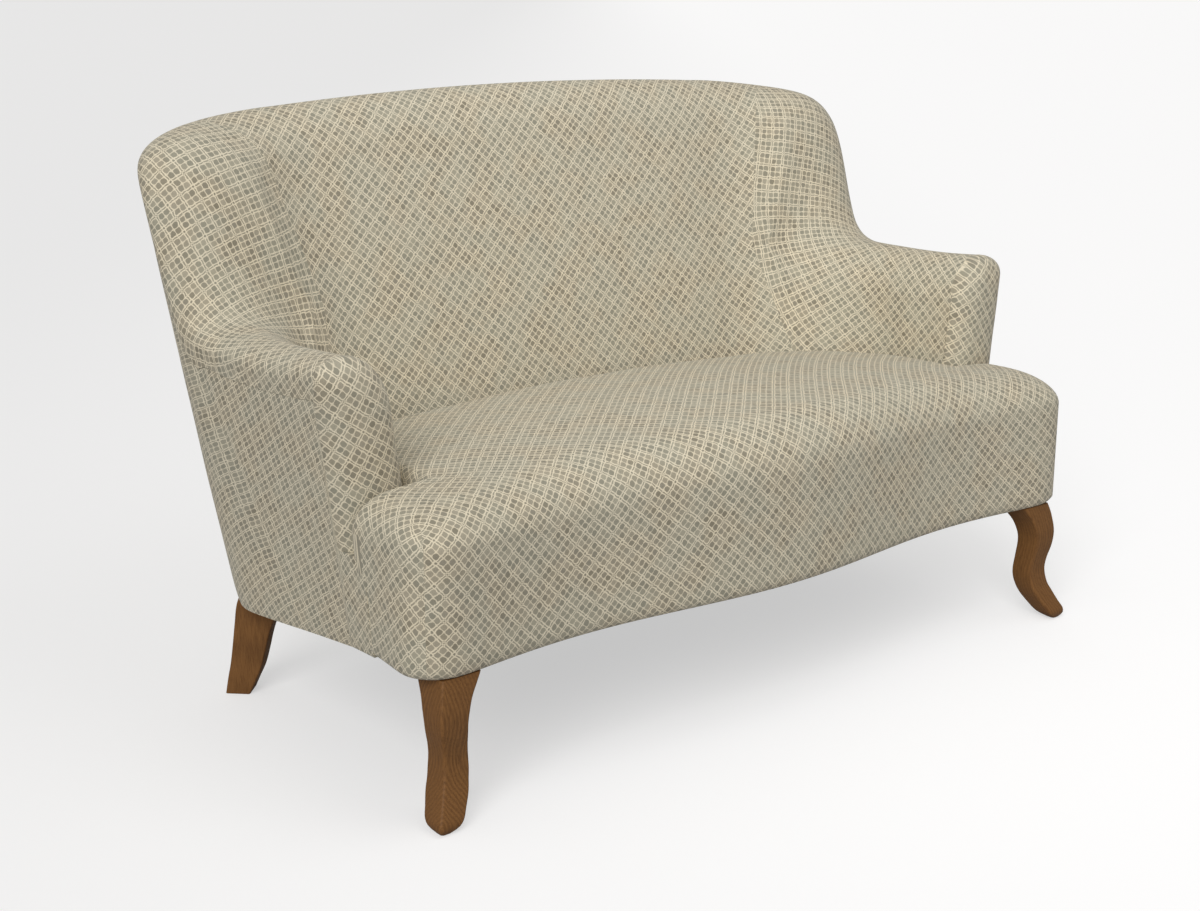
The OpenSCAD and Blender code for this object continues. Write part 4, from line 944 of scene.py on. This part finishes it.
for side, word in ((-1, "left"), (1, "right")):
    h = np.concatenate([[0, 0.004, 0.012, 0.024], np.linspace(0.04, 1, 60)])
    knee, calf = profile(KNEE, h) * LEG_W, profile(CALF, h) * LEG_W
    rings = []
    for t, a, b in zip(h, calf, knee):
        ring = np.array(rounded(a, b, -b, -a, ARRIS))
        x, y = (ring[:, 0] + LEG_X) * side, ring[:, 1] - LEG_Y
        rings.append(np.column_stack([x, y, np.full(len(ring), t * LEG_H)]))
    leg("front_%s_leg_shaped" % word, rings, side, "front_%s_leg" % word)

    rear_h = float(bottom_z(FOOT_Y - REAR_W))
    drop = (COVER_T + GAP) * tan(BOTTOM_FALL) + GAP
    h = np.linspace(0, 1, 50)
    heel, shin = profile(HEEL, h) * REAR_W, profile(SHIN, h) * REAR_W
    rings = []
    for t, a, b in zip(h, shin, heel):
        ring = np.array(rounded(a, b, -REAR_HALF, REAR_HALF, REAR_ARRIS))
        x = FOOT_X + (ring[:, 0] - ring[:, 1]) * math.sqrt(0.5)
        y = FOOT_Y + (ring[:, 0] + ring[:, 1]) * math.sqrt(0.5)
        z = np.minimum(t * rear_h, bottom_z(y) - drop)
        rings.append(np.column_stack([x * side, y, z]))
    leg("rear_%s_leg_shaped" % word, rings, side, "rear_%s_leg" % word)

# %% [markdown]
# ## What lies inside
#
# The frame, springs, cloths and fastenings keep their CAD shapes. Each gets a procedural material for what it is.

# %%
def plain(name, colour, other, scale, rough, metal=0.0, bump=0.2, depth=0.0005, stretch=(1, 1, 1)):
    g = Graph(name)
    place = g.node("ShaderNodeTexCoord").outputs["Object"]
    m = g.node("ShaderNodeMapping")
    g.put(place, m.inputs[0])
    m.inputs["Scale"].default_value = stretch
    n = g.noise(m.outputs[0], scale, 4.0, 0.6)
    g.put(g.colours(g.step(n, 0.3, 0.7), colour, other), g.shader.inputs["Base Color"])
    g.shader.inputs["Roughness"].default_value, g.shader.inputs["Metallic"].default_value = rough, metal
    g.bump(n, bump, depth)
    return g.material


def plain_weave(name, colour, other, pitch, rough=0.9):
    g = Graph(name)
    split = g.node("ShaderNodeSeparateXYZ")
    g.put(g.node("ShaderNodeTexCoord").outputs["Object"], split.inputs[0])
    waves = [g.math("SINE", g.math("MULTIPLY", split.outputs[k], 2 * math.pi / pitch)) for k in (0, 1)]
    over = g.step(g.math("MULTIPLY", *waves), -0.4, 0.4)
    g.put(g.colours(over, colour, other), g.shader.inputs["Base Color"])
    g.shader.inputs["Roughness"].default_value = rough
    g.bump(over, 0.4, 0.0004)
    return g.material


finishes = {
    "frame_wood": oak("raw_beech", srgb(196, 160, 118), srgb(222, 192, 150), 0, 0.6),
    "dowel_wood": plain("raw_dowel", srgb(206, 176, 134), srgb(224, 198, 158), 90, 0.7, stretch=(1, 1, 0.1)),
    "steel": plain("zinc_plate", srgb(176, 178, 182), srgb(196, 198, 200), 160, 0.35, 1.0, 0.1, 0.0002),
    "spring_steel": plain("drawn_wire", srgb(92, 92, 96), srgb(112, 112, 114), 200, 0.4, 1.0, 0.1, 0.0002),
    "platform_cloth": plain_weave("platform_weave", srgb(150, 142, 124), srgb(172, 164, 146), 0.004),
    "felt": plain("needled_felt", srgb(206, 198, 180), srgb(226, 218, 202), 400, 0.95, bump=0.5),
    "webbing": plain_weave("jute_webbing", srgb(150, 128, 88), srgb(184, 162, 118), 0.006),
    "dust_cloth": plain_weave("black_non_woven", srgb(34, 33, 32), srgb(46, 45, 43), 0.003, 0.95),
    "leg_wood": leg_oak,
    "cover_fabric": cloth,
}
for part in frame["record"]["subparts"]:
    obj = nodes[part["node"]]
    if not obj.material_slots:
        obj.data.materials.append(None)
    for k in obj.material_slots:
        k.link = "OBJECT"
        k.material = finishes[part["material_slot"]]

# %% [markdown]
# ## Studio
#
# An even sky lights everything at a plain level, and looks nearly white to the camera alone. One wide sun from the
# left gives the soft shadow, and a softbox above the front adds a little light on the seat.

# %%
scene = bpy.context.scene
scene.view_settings.view_transform = "Standard"
world = bpy.data.worlds.new("studio")
scene.world = world
world.use_nodes = True
world.node_tree.nodes["Background"].inputs[0].default_value = (1.0, 0.99, 0.97, 1.0)
seen = world.node_tree.nodes.new("ShaderNodeLightPath").outputs["Is Camera Ray"]
level = world.node_tree.nodes.new("ShaderNodeMath")
level.operation = "MULTIPLY_ADD"
level.inputs[1].default_value, level.inputs[2].default_value = 0.5, 0.415
world.node_tree.links.new(seen, level.inputs[0])
world.node_tree.links.new(level.outputs[0], world.node_tree.nodes["Background"].inputs[1])
sun = bpy.data.lights.new("key", "SUN")
sun.energy, sun.angle, sun.color = 1.62, math.radians(35), (1.0, 0.985, 0.955)
key = bpy.data.objects.new("key", sun)
key.rotation_euler = (math.pi / 2 - math.radians(34.5), 0, math.radians(-54))
box = bpy.data.lights.new("softbox", "AREA")
box.energy, box.size, box.color = 6.0, 1.0, (1.0, 0.99, 0.97)
softbox = bpy.data.objects.new("softbox", box)
softbox.location = (-0.1, -0.65, 1.7)
softbox.rotation_euler = (Vector((0.15, 0.05, 0.45)) - softbox.location).to_track_quat("-Z", "Y").to_euler()
for obj in (key, softbox):
    scene.collection.objects.link(obj)
    print(obj.name, "strength:", round(obj.data.energy, 2))

# %% [markdown]
# A wide pale floor fills the picture. Its base colour takes the shadow, and a glow that only the camera sees lifts
# it to the photograph's pale grey, which brightens from left to right, without more light on the sofa.

# %%
g = Graph("studio_floor")
split = g.node("ShaderNodeSeparateXYZ")
g.put(g.node("ShaderNodeTexCoord").outputs["Object"], split.inputs[0])
across = g.math("ADD", g.math("MULTIPLY", split.outputs[0], 0.7716), g.math("MULTIPLY", split.outputs[1], -0.6361))
pale = g.colours(g.step(across, -2.2, 1.8), srgb(236, 236, 236), srgb(254, 254, 254))
g.put(g.colours(1.0, pale, (0.56, 0.56, 0.57, 1.0), "MULTIPLY"), g.shader.inputs["Base Color"])
g.shader.inputs["Roughness"].default_value = 0.9
g.shader.inputs["Specular IOR Level"].default_value = 0.0
glow = g.node("ShaderNodeEmission")
g.put(pale, glow.inputs[0])
seen = g.node("ShaderNodeLightPath").outputs["Is Camera Ray"]
g.put(g.math("MULTIPLY", seen, 0.56), glow.inputs[1])
blend = g.node("ShaderNodeAddShader")
g.tree.links.new(g.shader.outputs[0], blend.inputs[0])
g.tree.links.new(glow.outputs[0], blend.inputs[1])
g.tree.links.new(blend.outputs[0], g.tree.nodes["Material Output"].inputs[0])
FLOOR_HALF, FLOOR_Z = 60, -0.0005
corners = [(x * FLOOR_HALF, y * FLOOR_HALF, FLOOR_Z) for x, y in ((-1, -1), (1, -1), (1, 1), (-1, 1))]
floor_mesh = bpy.data.meshes.new("floor")
floor_mesh.from_pydata(corners, [], [(0, 1, 2, 3)])
floor_mesh.materials.append(g.material)
floor = bpy.data.objects.new("floor", floor_mesh)
scene.collection.objects.link(floor)
print("floor, width in m:", 2 * FLOOR_HALF)

# %% [markdown]
# ## Camera
#
# The camera was fitted to the photograph's straight edges and leg soles: 39.5 degrees to the left of the front,
# 15.4 degrees above it, with a lens of 56 mm on a 36 mm sensor for the 1200 by 911 picture.

# %%
lens = bpy.data.cameras.new("camera")
lens.sensor_width, lens.lens = 36.0, 36.0 * 1870 / 1200
camera = bpy.data.objects.new("camera", lens)
scene.collection.objects.link(camera)
az, el = math.radians(-39.505), math.radians(15.429)
camera.location = (-1.847, -2.169, 1.096)
camera.rotation_euler = (math.pi / 2 - el, 0, az)
scene.camera = camera
print("camera at", [round(v, 3) for v in camera.location], "lens in mm:", round(lens.lens, 1))
